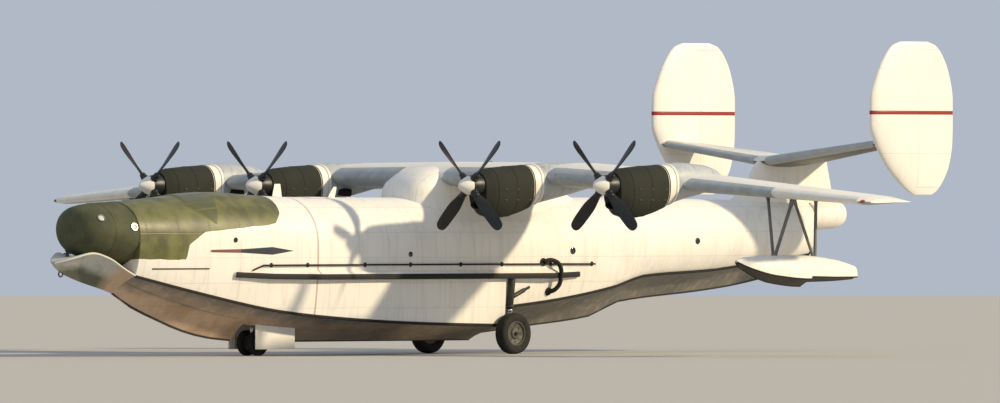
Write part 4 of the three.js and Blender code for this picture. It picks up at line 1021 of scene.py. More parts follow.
class BOAT_OT_nose(bpy.types.Operator):
    """Makes the rounded upper nose with its lamps, and the bow below it"""

    bl_idname = "boat.nose"
    bl_label = "Nose and bow"

    def execute(self, context):
        rings = [[on_nose(aft, math.tau * i / 40) for i in range(40)] for aft in steps(NOSE, 0.12)]
        nose = loft("nose_skin", rings)
        dress(nose, "nose olive", nodes=("nose_upper",))
        # The pale glass of each nose lamp is a painted glint.
        for number, (aft, angle) in enumerate(NOSE_LAMPS):
            centre = on_nose(aft, angle)
            upward, backward = on_nose(aft, angle + 0.02) - centre, on_nose(aft + 0.02, angle) - centre
            normal = upward.cross(backward).normalized()
            if normal.y < 0:
                normal.negate()
            for side_name, side in SIDES.items():
                window(f"nose_lamp_{number}_{side_name}", centre * Vector((1, side, 1)),
                       normal * Vector((1, side, 1)), 0.09, "lamp glass")
        # Hoops that hold the nose skin down, and the joint where it meets the hull
        for aft in (1.62, 2.46):
            hoop = patch(nose, f"nose_hoop_{round(aft * 10)}", [
                ((station(aft), 0, 0), (1, 0, 0)), ((station(aft + 0.03), 0, 0), (-1, 0, 0))], 0.008)
            dress(hoop, "nose olive")

        rings, rims = [], []
        for aft in steps(BOW, 0.12):
            _, keel, width, gunwale, deck = along(BOW, aft)
            half = [(width * i / 6, keel + (gunwale - keel) * (i / 6) ** HOLLOW) for i in range(6)]
            half += [
                (width, gunwale), (width * 0.965, gunwale + 0.015),
                (width * 0.8, (gunwale + deck) / 2 + 0.02), (width * 0.4, deck + 0.008), (0, deck)]
            rings.append([(station(aft), y, z) for y, z in both_halves(half)])
            rims.append((station(aft) - 0.02, width, gunwale))
        dress(loft("bow_skin", rings), "bow enamel", nodes=("bow_lower",))
        rim = carried("bow_rim", rims, [
            (-0.05, -0.03), (0.014, -0.035), (0.02, 0.0), (-0.02, 0.022), (-0.06, 0.0)])
        dress_pair(rim, "bow_rim", "white")
        # Mooring post on the bow, with its cross pin
        x = station(MOORING_POST_AFT)
        post = joined("mooring_post", [
            bar("post", (x, 0, 2.9), (x, 0, 3.26), 0.05), bar("head", (x, 0, 3.24), (x, 0, 3.29), 0.075),
            bar("pin", (x, -0.16, 3.17), (x, 0.16, 3.17), 0.022)])
        dress(post, "steel")
        eye = loft("bow_towing_eye", [
            [Vector((station(0.34) + (0.085 + 0.024 * math.cos(b)) * math.cos(a), 0.024 * math.sin(b),
                     2.55 + (0.085 + 0.024 * math.cos(b)) * math.sin(a)))
             for b in (math.tau * j / 10 for j in range(10))]
            for a in (math.tau * i / 24 for i in range(24))], closed=True)
        dress(eye, "steel")
        return {"FINISHED"}


class BOAT_OT_windscreen(bpy.types.Operator):
    """Makes the flight deck's panes and their frame over the hull skin"""

    bl_idname = "boat.windscreen"
    bl_label = "Windscreen"

    def execute(self, context):
        hull = bpy.data.objects["hull_fore_skin"]
        rake = math.radians(WINDSCREEN["rake"])
        fore_and_up = Vector((math.cos(rake), 0, math.sin(rake)))
        aft_and_up = Vector((-math.sin(rake), 0, math.cos(rake)))
        centre = Vector((station(WINDSCREEN["aft"]), 0, WINDSCREEN["height"]))

        def band(margin, low, high):
            run, below = WINDSCREEN["half_run"] + margin, WINDSCREEN["below"] + margin
            return [
                (centre + fore_and_up * run, fore_and_up), (centre - fore_and_up * run, -fore_and_up),
                (centre - aft_and_up * below, -aft_and_up), ((0, low, 0), (0, -1, 0)),
                ((0, high, 0), (0, 1, 0))]

        frame_band = patch(hull, "windscreen_frame", band(0.05, -2, 2), 0.008)
        dress(frame_band, "olive", nodes=("windscreen",))
        for number, (low, high) in enumerate(zip(PANE_EDGES, PANE_EDGES[1:])):
            pane = patch(hull, f"windscreen_pane_{number}", band(0, low + 0.025, high - 0.025), 0.014)
            dress_pair(pane, f"windscreen_pane_{number}", "blinded glass")
        return {"FINISHED"}


class BOAT_OT_hull_trim(bpy.types.Operator):
    """Makes the rails, fenders, doors, windows, hatches and aerials of the hull"""

    bl_idname = "boat.hull_trim"
    bl_label = "Hull trim"

    def execute(self, context):
        after = bpy.data.objects["hull_after_skin"]
        for name, table in (("fore", FOREBODY), ("after", AFTERBODY)):
            rows = [along(table, aft) for aft in steps(table, 0.6)]
            rail = carried(f"chine_rail_{name}", [(station(row[0]), row[2], row[3]) for row in rows], [
                (-0.07, 0.012), (0.0, 0.02), (0.035, 0.0), (0.03, -0.06), (-0.01, -0.075), (-0.09, -0.02)])
            dress_pair(rail, f"chine_rail_{name}", "soot")
        for name, table, start, end in KEEL_SHOES:
            rows = [along(table, aft) for aft in steps(table, 0.6, start, end)]
            keel = carried(f"keel_shoe_{name}", [(station(row[0]), 0, row[1]) for row in rows], [
                (-0.05, 0.05), (-0.035, -0.004), (0.035, -0.004), (0.05, 0.05)])
            dress(keel, "steel")
        # Spray strips halfway out on the planing bottom, ahead of the wheel bay
        rows = [along(FOREBODY, aft) for aft in steps(FOREBODY, 0.5, end=7.2)]
        strip = carried("spray_strip", [
            (station(row[0]), row[2] * 0.5, row[1] + (row[3] - row[1]) * 0.5 ** HOLLOW) for row in rows],
            [(-0.02, 0.02), (0.05, 0.01), (0.04, -0.03), (0.0, -0.02)])
        dress_pair(strip, "spray_strip", "bottom paint")

        # A black rubber fender along the lip of each ledge
        path = [(station(aft), *straight(LEDGE, aft)[1:]) for aft in steps(LEDGE, 1.0)]
        fender = carried("ledge_fender", path, [
            (-0.06, -0.01), (-0.03, -0.055), (0.02, -0.045), (0.035, 0.03), (0.02, 0.11), (-0.03, 0.12)])
        dress_pair(fender, "ledge_fender", "fender")

        # Grab rail on short posts above the ledge
        line = [on_hull(7.0, 2.66, out=0.05)[0]] + [
            on_hull(7.4 + i * 0.725, 2.80, out=0.06)[0] for i in range(21)]
        rails = [carried("rail", line, [
            (0.028 * math.cos(a), 0.028 * math.sin(a)) for a in (math.tau * i / 10 for i in range(10))])]
        for aft in RAIL_POSTS:
            foot, normal = on_hull(aft, 2.80, out=-0.01)
            rails.append(bar("post", foot, foot + normal * 0.075, 0.035, 12))
            rails.append(bar("flange", foot, foot + normal * 0.022, 0.075, 16))
        dress_pair(joined("grab_rail", rails), "grab_rail", "soot")

        # A rubbing strip on each bow, in front of the ledge
        path = [on_hull(3.05 + i * 0.22, 2.70)[0] for i in range(11)]
        strip = carried("bow_strip", path, [(-0.03, -0.022), (0.018, -0.016), (0.018, 0.016), (-0.03, 0.022)])
        dress_pair(strip, "bow_strip", "soot")

        # Guard arm bent from tube, which keeps lines off each side wheel
        rows = [(i, *row) for i, row in enumerate(GUARD_ARM)]
        bends = [along(rows, i / 5) for i in range(5 * len(GUARD_ARM) - 4)]
        rods = [tube("arm", [on_hull(aft, height, out=out)[0] for _, aft, height, out in bends], 0.07, 16)]
        for aft, height, _ in (GUARD_ARM[0], GUARD_ARM[-1]):
            rods.append(bar("foot", *(on_hull(aft, height, out=out)[0] for out in (-0.02, 0.05)), 0.13))
        dress_pair(joined("guard_arm", rods), "guard_arm", "soot")

        for number, (aft, height, radius) in enumerate(HULL_WINDOWS):
            for side_name, side in SIDES.items():
                place = on_hull(aft, height, side)
                window(f"hull_window_{number}_{side_name}", *place, radius, "dark glass", "steel", 0.02)

        # The cargo door over its gasket, with a bow handle
        side = SIDES["starboard"]
        (front, back), (low, high) = CARGO_DOOR
        seal = side_box((front - GASKET, back + GASKET), (low - GASKET, high + GASKET), side)
        dress(patch(after, "cargo_door_starboard_gasket", seal, 0.003), "hub")
        door = patch(after, "cargo_door_starboard", side_box(*CARGO_DOOR, side), 0.012)
        dress(door, "hull enamel")
        grip, normal = on_hull(back - 0.12, (low + high) / 2, side, 0.005)
        rods = [bar("bar", *(grip + normal * 0.05 + Vector((0, 0, rise)) for rise in (-0.1, 0.1)), 0.014)]
        for rise in (-0.08, 0.08):
            foot = grip + Vector((0, 0, rise))
            rods.append(bar("end", foot, foot + normal * 0.055, 0.014))
        dress(joined("cargo_door_starboard_handle", rods), "aluminium")

        # Deck hatches over their gaskets
        for number, (skin, front, back, half) in enumerate(HATCHES):
            for grown, finish, proud in ((GASKET, "hub", 0.003), (0.0, "hull enamel", 0.014)):
                edges = [
                    ((station(front - grown), 0, 0), (1, 0, 0)), ((station(back + grown), 0, 0), (-1, 0, 0)),
                    ((0, half + grown, 0), (0, 1, 0)), ((0, -half - grown, 0), (0, -1, 0)),
                    ((0, 0, 4.2), (0, 0, -1))]
                name = f"deck_hatch_{number}_{finish.split()[0]}"
                dress(patch(bpy.data.objects[skin], name, edges, proud), finish)

        # Blade aerials along the deck: swept fins on round feet
        for number, (aft, deck) in enumerate(AERIALS):
            rings = [[(
                station(aft + up * 0.5) + chord / 2 * math.cos(math.tau * i / 14),
                thick / 2 * math.sin(math.tau * i / 14), deck + up) for i in range(14)]
                for up, chord, thick in AERIAL_BLADE]
            blade = loft("blade", rings)
            foot = bar("foot", (station(aft), 0, deck - 0.03), (station(aft), 0, deck + 0.03), 0.11)
            dress(joined(f"blade_aerial_{number}", [blade, foot]), "white")
        lamp = loft("tail_lamp", turned([(0.05, 0.0), (0.05, -0.03), (0.035, -0.055), (0.01, -0.068)],
                                        (station(34.73), 0, 4.33), (1, 0, 0), 20))
        dress(lamp, "lamp glass")
        return {"FINISHED"}


# Wing and tail


class BOAT_OT_fairing(bpy.types.Operator):
    """Makes the fairing that carries the wing above the hull"""

    bl_idname = "boat.fairing"
    bl_label = "Wing fairing"

    def execute(self, context):
        rings = []
        for aft in steps(FAIRING, 0.25):
            _, width, top = along(FAIRING, aft)
            widen, foot = FAIRING_FOOT
            waist = min(FAIRING_WAIST, foot + (top - foot) * 0.8)
            half = [(0, foot)]
            for i in range(8):
                t = i / 8
                spread = (1 - t) ** 2 * widen + 2 * t * (1 - t) * 1.06 + t * t
                half.append((width * spread, foot + (waist - foot) * t))
            for i in range(10):
                angle = math.pi / 2 * i / 10
                half.append((
                    width * math.cos(angle) ** 0.75, waist + (top - waist) * math.sin(angle) ** 0.75))
            half.append((0, top))
            rings.append([(station(aft), y, z) for y, z in both_halves(half)])
        dress(loft("wing_fairing_skin", rings), "wing enamel", nodes=("wing_fairing",))
        beacon = loft("fairing_beacon", turned(
            [(0.1, -0.04), (0.1, 0.02), (0.075, 0.03), (0.07, 0.1), (0.045, 0.14), (0.01, 0.155)],
            (station(18.9), 0, 5.86), (0, 0.001, 1), 24))
        dress(beacon, "red glass")
        return {"FINISHED"}


class BOAT_OT_surfaces(bpy.types.Operator):
    """Skins the wing, the tail and their moving surfaces, the ledges and the mast"""

    bl_idname = "boat.surfaces"
    bl_label = "Wing and tail"

    def execute(self, context):
        plans = {
            ("wing enamel", "wing underside"): [
                "wing_centre", "wing_outer", "flap_inner", "flap_outer", "aileron"],
            ("wing enamel", "grey underside shade"): ["tailplane", "elevator"],
            ("wing enamel", "wing enamel"): ["tail_pylon", "aerial_mast"],
            ("hull enamel", "hull enamel"): ["side_ledge"],
        }
        for (upper, lower), kinds in plans.items():
            for kind in kinds:
                sided = (kind, f"{kind}_port", f"{kind}_starboard")
                for node in [node for node in frame["nodes"] if node in sided]:
                    skin = merged(node, f"{node}_skin")
                    skin.data.materials.append(FINISHES[upper])
                    skin.data.materials.append(FINISHES[lower])
                    # Faces that look down take the lower finish, which is painted shade on the wing and
                    # tailplane surfaces.
                    for face in skin.data.polygons:
                        face.material_index = int(face.normal.z < -0.12)
                    dress(skin, None, body_of(node), (node,), 22)
        return {"FINISHED"}


def section(row, share, side, camber, grown):
    """A point on the aerofoil of a row: its distance aft and its height or thickness."""
    lead, trail, middle, thick = row
    lead, trail, thick = lead - grown, trail + grown, thick + 2 * grown
    root, *powers = AEROFOIL
    body = root * math.sqrt(share) + sum(factor * share ** (i + 1) for i, factor in enumerate(powers))
    rise = 4 * camber * (trail - lead) * share * (1 - share)
    return lead + (trail - lead) * share, middle + rise + side * thick * (body / 2 + 0.035 * share)


def fin_row(z):
    """The fin's leading edge, trailing edge and thickness at a height, and half of that at the hinge."""
    _, lead, trail, thick = along(FIN, z)
    _, half = section((lead, trail, 0.0, thick), (RUDDER_HINGE - lead) / (trail - lead), 1, 0, 0)
    return lead, trail, thick, half


def rudder_levels(low, high):
    """Heights of a rudder's rings, from one level to another."""
    return [low] + [z for z in steps(FIN, 0.2) if low < z < high] + [high]


def hinge_cutter(name, low, high, growth, clearance):
    """A solid behind the rudder hinge whose front is rounded about it, so much wider than the fin there."""
    rings = []
    for z in rudder_levels(low, high):
        half = fin_row(z)[3] + growth
        ring = [(station(RUDDER_HINGE + 2.2), 0.6), (station(RUDDER_HINGE + 2.2), -0.6)]
        ring += [(station(RUDDER_HINGE - clearance), -0.6)]
        for i in range(13):
            angle = math.pi * (i / 12 - 0.5)
            ahead = half * max(clearance / half, math.cos(angle))
            ring.append((station(RUDDER_HINGE) + ahead, half * math.sin(angle)))
        ring += [(station(RUDDER_HINGE - clearance), 0.6)]
        rings.append([(x, FIN_Y + y, z) for x, y in ring])
    return loft(name, rings)


class BOAT_OT_fins(bpy.types.Operator):
    """Makes the two fins with their rudders"""

    bl_idname = "boat.fins"
    bl_label = "Fins and rudders"

    def execute(self, context):
        shares = [0.0, 0.004, 0.016, 0.04, 0.08, 0.15, 0.25, 0.4, 0.55, 0.7, 0.85, 1.0]
        rings = []
        for z in steps(FIN, 0.12):
            _, lead, trail, thick = along(FIN, z)
            outline = [section((lead, trail, 0.0, thick), share, 1, 0, 0) for share in shares]
            outline += [section((lead, trail, 0.0, thick), share, -1, 0, 0) for share in reversed(shares[1:])]
            rings.append([(station(aft), FIN_Y + y, z) for aft, y in outline])
        whole = loft("fin_whole", rings)
        low, high = RUDDER
        fixed = copied(whole, "fin_fixed")
        cutter = hinge_cutter("rudder_room", low - RUDDER_GAP, high + RUDDER_GAP, RUDDER_GAP, 0.01)
        modify(fixed, "BOOLEAN", object=cutter, operation="DIFFERENCE", solver="EXACT")
        bpy.data.objects.remove(cutter)
        moving = copied(whole, "rudder_blade")
        edit(moving)
        for point, normal in (((station(RUDDER_HINGE), 0, 0), (1, 0, 0)), ((0, 0, low), (0, 0, -1)),
                              ((0, 0, high), (0, 0, 1))):
            bpy.ops.mesh.select_all(action="SELECT")
            bpy.ops.mesh.bisect(plane_co=point, plane_no=normal, clear_outer=True, use_fill=True)
        deselect()
        nose = loft("rudder_nose", [[
            (station(RUDDER_HINGE) + (fin_row(z)[3] - 0.002) * math.cos(math.tau * i / 24),
             FIN_Y + (fin_row(z)[3] - 0.002) * math.sin(math.tau * i / 24), z) for i in range(24)]
            for z in rudder_levels(low, high)])
        modify(moving, "BOOLEAN", object=nose, operation="UNION", solver="EXACT")
        for piece in (nose, whole):
            bpy.data.objects.remove(piece)
        for kind, piece in (("fin", fixed), ("rudder", moving)):
            other = mirrored(piece, f"{kind}_skin_starboard")
            piece.name = f"{kind}_skin_port"
            for side_name, skin in (("port", piece), ("starboard", other)):
                node = f"{kind}_{side_name}"
                dress(skin, "fin enamel", body_of(node), (node,))
        return {"FINISHED"}


def boot(name, rows, camber, place):
    """A rubber boot round a leading edge, which rounds it finely. Place gives each point its position."""
    rings = []
    for row in rows:
        across, lines = row[0], row[1:]
        outline = [section(lines, share, 1, camber, 0.006) for share in BOOT_SHARES]
        outline += [section(lines, share, -1, camber, 0.006) for share in reversed(BOOT_SHARES[:-1])]
        rings.append([place(across, *point) for point in outline])
    return loft(name, rings)


class BOAT_OT_boots(bpy.types.Operator):
    """Makes the boots on the leading edges, and the lamps at the wing tips"""

    bl_idname = "boat.boots"
    bl_label = "Leading edges"

    def execute(self, context):
        def on_wing(y, aft, z):
            return (station(aft), y, z)

        for name, table, start, end, camber, finish in BOOTS:
            rows = [straight(table, y) for y in steps(table, 1.0, start, end)]
            dress_pair(boot(f"boot_{name}", rows, camber, on_wing), f"boot_{name}", finish)
        for side_name, side in SIDES.items():
            finish = "red glass" if side > 0 else "green glass"
            lamp = loft(f"wing_lamp_{side_name}", turned(
                [(0.055, -0.1), (0.055, 0.02), (0.045, 0.07), (0.025, 0.1), (0.006, 0.11)],
                (station(17.12), side * 17.82, 4.76), (1, 0, 0), 20))
            dress(lamp, finish)
        # Hinge fairings under the fixed wing, ahead of the flaps
        fairings = []
        for table, spans in HINGE_FAIRINGS:
            for y in spans:
                _, lead, trail, middle, thick = straight(table, y)
                rings = []
                for t in (0.0, 0.08, 0.25, 0.5, 0.75, 0.93, 1.0):
                    full = math.sin(math.pi * (0.06 + 0.88 * t)) ** 0.6
                    aft, low = section((lead, trail, middle, thick), 0.46 + 0.25 * t, -1, 0.02, 0)
                    axis, deep = low - 0.01 - 0.03 * full, 0.12 * full * thick
                    rings.append([(
                        station(aft), y + 0.07 * full * math.cos(math.tau * i / 12),
                        axis + deep * math.sin(math.tau * i / 12)) for i in range(12)])
                fairings.append(loft("hinge_fairing", rings))
        dress_pair(joined("hinge_fairings", fairings), "hinge_fairings", "white")
        return {"FINISHED"}


# Engines


def pod(row, y, tip, drop=0.0, shrink=0.0, sides=40):
    """A soft square ring about a propeller shaft."""
    aft, width, above, below = row
    ring = []
    for i in range(sides):
        angle = math.tau * (i + 0.5) / sides
        across = math.copysign(abs(math.cos(angle)) ** 0.85, math.cos(angle))
        upward = math.copysign(abs(math.sin(angle)) ** 0.85, math.sin(angle))
        ring.append((
            station(tip + aft), y + (width - shrink) * across,
            SHAFT_Z + drop + (above - below) / 2 + ((above + below) / 2 - shrink) * upward))
    return ring


def oval(aft, y, z, half_width, half_height, sides=40):
    """An upright oval ring at a station."""
    return [(station(aft), y + half_width * math.cos(math.tau * (i + 0.5) / sides),
             z + half_height * math.sin(math.tau * (i + 0.5) / sides)) for i in range(sides)]


def cowl_pieces(y, tip):
    """The pieces of one engine's cowl and their finishes: skin, nose bowl, intake, hoops and collar."""
    size = bpy.context.scene.boat_engine
    outer = [along(COWL, aft) for aft in steps(COWL, 0.16)]
    front = outer[0]
    rings = [pod(row, y, tip, shrink=0.06) for row in reversed(outer[2:])]
    for i in range(7):
        angle = math.pi * i / 6
        rings.append(pod(
            (front[0] + size.lip * (1 - math.sin(angle)), *front[1:]), y, tip,
            shrink=size.lip * (0.6 + 0.6 * math.cos(angle))))
    rings += [pod(row, y, tip) for row in outer[1:]]
    skin = loft("cowl_skin", rings, closed=True)
    # The last ring of the cowl is white.
    skin.data.materials.append(FINISHES["cowl"])
    skin.data.materials.append(FINISHES["white"])
    for face in skin.data.polygons:
        face.material_index = int(face.center.x < station(tip + COWL_WHITE))
    face = front[0]
    rings = [pod((face + back, *front[1:]), y, tip, shrink=shrink)
             for back, shrink in ((0.4, 0.07), (0.05, 0.04), (0.012, 0.05))]
    rings += [oval(tip + face + back, y, SHAFT_Z, radius, radius)
              for back, radius in ((-0.005, 0.33), (0.0, 0.26), (0.1, 0.25))]
    bowl = loft("cowl_bowl", rings)
    throat = SHAFT_Z - INTAKE["below"]
    wide, tall = INTAKE["half_width"], INTAKE["half_height"]
    cutter = loft("intake_cutter", [
        oval(tip + face - 0.1, y, throat, wide, tall),
        oval(tip + face + 0.34, y, throat, wide * 0.9, tall * 0.9)])
    modify(bowl, "BOOLEAN", object=cutter, operation="DIFFERENCE", solver="EXACT")
    bpy.data.objects.remove(cutter)
    lip = loft("intake_lip", [
        oval(tip + face + back, y, throat, wide + out, tall + out) for back, out in (
            (0.05, 0.03), (0.0, 0.032), (-0.03, 0.02), (-0.035, 0.005), (-0.02, -0.008), (0.08, -0.01))],
        closed=True)
    screen = loft("intake_screen", [
        oval(tip + face + 0.3, y, throat, wide * 0.94, tall * 0.94),
        oval(tip + face + 0.32, y, throat, wide * 0.94, tall * 0.94)])
    slats = []
    for share in (-0.75, -0.5, -0.25, 0.0, 0.25, 0.5, 0.75):
        reach = tall * math.sqrt(1 - share ** 2) * 0.9
        slats.append(block(
            "slat", (station(tip + face + 0.29), y + wide * share - 0.006, throat - reach),
            (station(tip + face + 0.27), y + wide * share + 0.006, throat + reach), 0.002))
    hoops = []
    for i in range(size.hoops):
        aft = 1.25 + i * 1.5 / max(1, size.hoops - 1)
        row = along(COWL, aft)
        hoops.append(loft("cowl_hoop", [
            pod((aft + back, *row[1:]), y, tip, shrink=shrink)
            for back, shrink in HOOP_SECTION], closed=True))
    latches = []
    for height in (-0.12, -0.45):
        for aft in (1.5, 2.0, 2.6):
            _, width, above, below = along(COWL, aft)
            middle = (above - below) / 2
            rise = max(-1.0, min(1.0, (height - middle) / ((above + below) / 2)))
            out = width * (1 - abs(rise) ** (2 / 0.85)) ** 0.425
            for side in (1, -1):
                latches.append(block(
                    "latch", (station(tip + aft + 0.06), y + side * out - 0.012, SHAFT_Z + height - 0.02),
                    (station(tip + aft - 0.06), y + side * out + 0.012, SHAFT_Z + height + 0.02), 0.005))
    back = NACELLE[0]
    collar = loft("cowl_collar", [
        pod((back[0] + size.collar * i / 5, *along(NACELLE, back[0] + size.collar * i / 5)[1:]), y, tip,
            shrink=-0.03 * math.sin(math.pi * (0.15 + 0.7 * i / 5))) for i in range(6)])
    # The intake screen is near-black: painted shade deep in the duct.
    return [
        (skin, None, "cowl_paint"), (bowl, "cowl", "cowl_paint"), (lip, "cowl", "cowl_paint"),
        (screen, "soot", "cast_metal"), (joined("intake_slats", slats), "cast", "cast_metal"),
        (joined("cowl_hoops", hoops), "cowl", "cowl_paint"),
        (joined("cowl_latches", latches), "steel", "cowl_paint"), (collar, "white", "white_paint")]


class BOAT_OT_cowls(bpy.types.Operator):
    """Makes the cowls, collars, nacelles and exhausts of the four engines"""

    bl_idname = "boat.cowls"
    bl_label = "Cowls and nacelles"

    def execute(self, context):
        _, first_y, first_tip, _, _ = ENGINES["inner_port"]
        front = NACELLE[0][0]
        pieces = cowl_pieces(first_y, first_tip)
        for name, (side, span, tip, stretch, rise) in ENGINES.items():
            y = side * span
            shift = Matrix.Translation((first_tip - tip, y - first_y, 0))
            for piece, finish, slot in pieces:
                nodes = (f"cowl_{name}",) if piece.name == "cowl_skin" else ()
                dress(copied(piece, f"{piece.name}_{name}", shift), finish, nodes=nodes)
            rings = []
            for aft in steps(NACELLE, 0.22):
                row = along(NACELLE, aft)
                drop = rise * min(1.0, max(0.0, (aft - 3.9) / 1.1))
                rings.append(pod((front + (aft - front) * stretch, *row[1:]), y, tip, drop))
            skin = loft(f"nacelle_skin_{name}", rings)
            dress(skin, "nacelle enamel", nodes=(f"nacelle_{name}",))
            # The exhaust leaves each nacelle low on its inboard flank.
            start = Vector((station(tip + 3.62), y - side * 0.5, SHAFT_Z - 0.2))
            axis = Vector((-0.9, -side * 0.36, -0.1))
            dress(loft(f"exhaust_{name}", turned(EXHAUST, start, axis, 24)), "soot")
            engine = frame["nodes"][f"engine_{name}"]
            engine.data.materials.clear()
            engine.data.materials.append(FINISHES["cast"])
        for piece, _, _ in pieces:
            bpy.data.objects.remove(piece)
        return {"FINISHED"}


class BOAT_OT_propellers(bpy.types.Operator):
    """Makes the four propellers with their spinners"""

    bl_idname = "boat.propellers"
    bl_label = "Propellers"

    def execute(self, context):
        _, first_y, first_tip, _, _ = ENGINES["inner_port"]
        profile = [(0.004, 0.0)]
        for i in range(1, 17):
            share = (i / 16) ** 1.4
            profile.append((SPINNER_RADIUS * (1 - (1 - share) ** 1.9) ** 0.7, -SPINNER_LENGTH * share))
        profile += [(SPINNER_RADIUS * 0.97, -SPINNER_LENGTH - 0.004), (0.15, -SPINNER_LENGTH - 0.006),
                    (0.15, -SPINNER_LENGTH - 0.024)]
        tip = (station(first_tip), first_y, SHAFT_Z)
        spinner = loft("spinner", turned(profile, tip, (1, 0, 0), 36))
        # The white shell ends at the blades, and the plate behind them is black, which also paints the shade
        # over the spinner's rear.
        spinner.data.materials.append(FINISHES["white"])
        spinner.data.materials.append(FINISHES["blade"])
        for face in spinner.data.polygons:
            face.material_index = int(face.center.x < tip[0] - SPINNER_WHITE)
        hub = Vector((station(first_tip) - BLADE_AFT, first_y, SHAFT_Z))
        rings = []
        for radius, chord, thick, pitch in (along(BLADE, r) for r in steps(BLADE, 0.12)):
            lean = math.radians(pitch)
            ring = []
            for i in range(16):
                angle = math.tau * i / 16
                across, deep = chord / 2 * math.cos(angle), thick / 2 * math.sin(angle)
                ring.append(Vector((
                    across * math.sin(lean) - deep * math.cos(lean),
                    across * math.cos(lean) + deep * math.sin(lean), radius)))
            rings.append(ring)
        parts = [
            loft("blade", rings), bar("cuff", (0, 0, 0.2), (0, 0, 0.38), 0.12, 24),
            bar("clamp", (0, 0, 0.37), (0, 0, 0.5), 0.11, 24, end_radius=0.09)]
        one = joined("one_blade", parts)
        blades = []
        for number in range(4):
            turn = Matrix.Rotation(math.pi / 4 + math.pi / 2 * number, 4, "X")
            blades.append(copied(one, "blade", Matrix.Translation(hub) @ turn))
        blades = joined("blades", blades)
        bpy.data.objects.remove(one)
        for name, (side, span, tip, _, _) in ENGINES.items():
            shift = Matrix.Translation((first_tip - tip, side * span - first_y, 0))
            body = body_of(f"propeller_{name}")
            shell = copied(spinner, f"spinner_{name}", shift)
            dress(shell, None, body, (f"propeller_{name}",))
            dress(copied(blades, f"blades_{name}", shift), "blade", body)
        for piece in (spinner, blades):
            bpy.data.objects.remove(piece)
        return {"FINISHED"}


# Floats


class BOAT_OT_floats(bpy.types.Operator):
    """Makes the wing floats, their struts and fittings"""

    bl_idname = "boat.floats"
    bl_label = "Floats"

    def execute(self, context):
        rings, chines = [], []
        for aft in steps(FLOAT, 0.2):
            _, width, keel, chine, deck = along(FLOAT, aft)
            half = [(width * i / 4, keel + (chine - keel) * (i / 4) ** 0.9) for i in range(4)]
            for i in range(8):
                angle = math.pi / 2 * i / 8
                half.append((width * math.cos(angle) ** 0.7, chine + (deck - chine) * math.sin(angle) ** 0.8))
            half.append((0.0, deck))
            rings.append([(station(aft), FLOAT_Y + y, z) for y, z in both_halves(half)])
            chines.append((station(aft), width, chine))
        hull = loft("float_skin", rings)
        hull.data.materials.append(FINISHES["float enamel"])
        hull.data.materials.append(FINISHES["float bottom"])
        for face in hull.data.polygons:
            aft = NOSE_TIP - face.center.x
            if FLOAT[0][0] < aft < FLOAT[-1][0] and face.center.z < along(FLOAT, aft)[3] - 0.005:
                face.material_index = 1
        rails = [carried("rail", [(x, FLOAT_Y + side * y, z) for x, y, z in chines], [
            (side * dy, dz) for dy, dz in ((-0.03, 0.012), (0.012, 0.008), (0.012, -0.02), (-0.03, -0.03))])
            for side in (1, -1)]
        keel = carried("keel", [(station(aft), FLOAT_Y, along(FLOAT, aft)[2]) for aft in steps(FLOAT, 0.4)], [
            (-0.02, 0.02), (-0.014, -0.006), (0.014, -0.006), (0.02, 0.02)])
        trim = joined("float_rails", rails + [keel])
        ends = []
        for (aft, y, z), (head_aft, head_y, head_z), radius in STRUT_ENDS:
            foot, head = Vector((station(aft), y, z)), Vector((station(head_aft), head_y, head_z))
            run = (head - foot).normalized()
            ends.append(bar("shoe", foot - run * 0.02, foot + run * 0.16, radius * 1.7, 20, radius * 1.15))
            ends.append(bar("socket", head - run * 0.28, head - run * 0.02, radius * 1.15, 20, radius * 1.8))
        fittings = joined("float_fittings", ends)
        for side_name, side in SIDES.items():
            make = copied if side > 0 else mirrored
            skin = make(hull, f"float_skin_{side_name}")
            dress(skin, None, nodes=(f"float_{side_name}",))
            dress(make(trim, f"float_rails_{side_name}"), "soot")
            dress(make(fittings, f"float_fittings_{side_name}"), "strut enamel")
            node = f"float_struts_{side_name}"
            dress(merged(node, f"{node}_skin"), "strut enamel", nodes=(node,), angle=50)
        for piece in (hull, trim, fittings):
            bpy.data.objects.remove(piece)
        return {"FINISHED"}


# Undercarriage


def tyre(name, centre, radius, width):
    """A round-shouldered tyre with grooves round its tread."""
    rim, half, groove = radius * 0.58, width / 2, radius * 0.018
    flank = [(rim, -half * 0.62), (rim * 1.04, -half * 0.8), (radius * 0.72, -half * 0.97),
             (radius * 0.86, -half), (radius * 0.95, -half * 0.86), (radius * 0.985, -half * 0.7)]
    profile = list(flank)
    for place in (-0.45, -0.15, 0.15, 0.45):
        profile += [(radius * 0.997, half * (place - 0.06)), (radius - groove, half * (place - 0.03)),
                    (radius - groove, half * (place + 0.03)), (radius * 0.997, half * (place + 0.06))]
    profile += [(r, -y) for r, y in reversed(flank)]
    return loft(name, turned(profile, centre, (0, 1, 0), 56), closed=True)


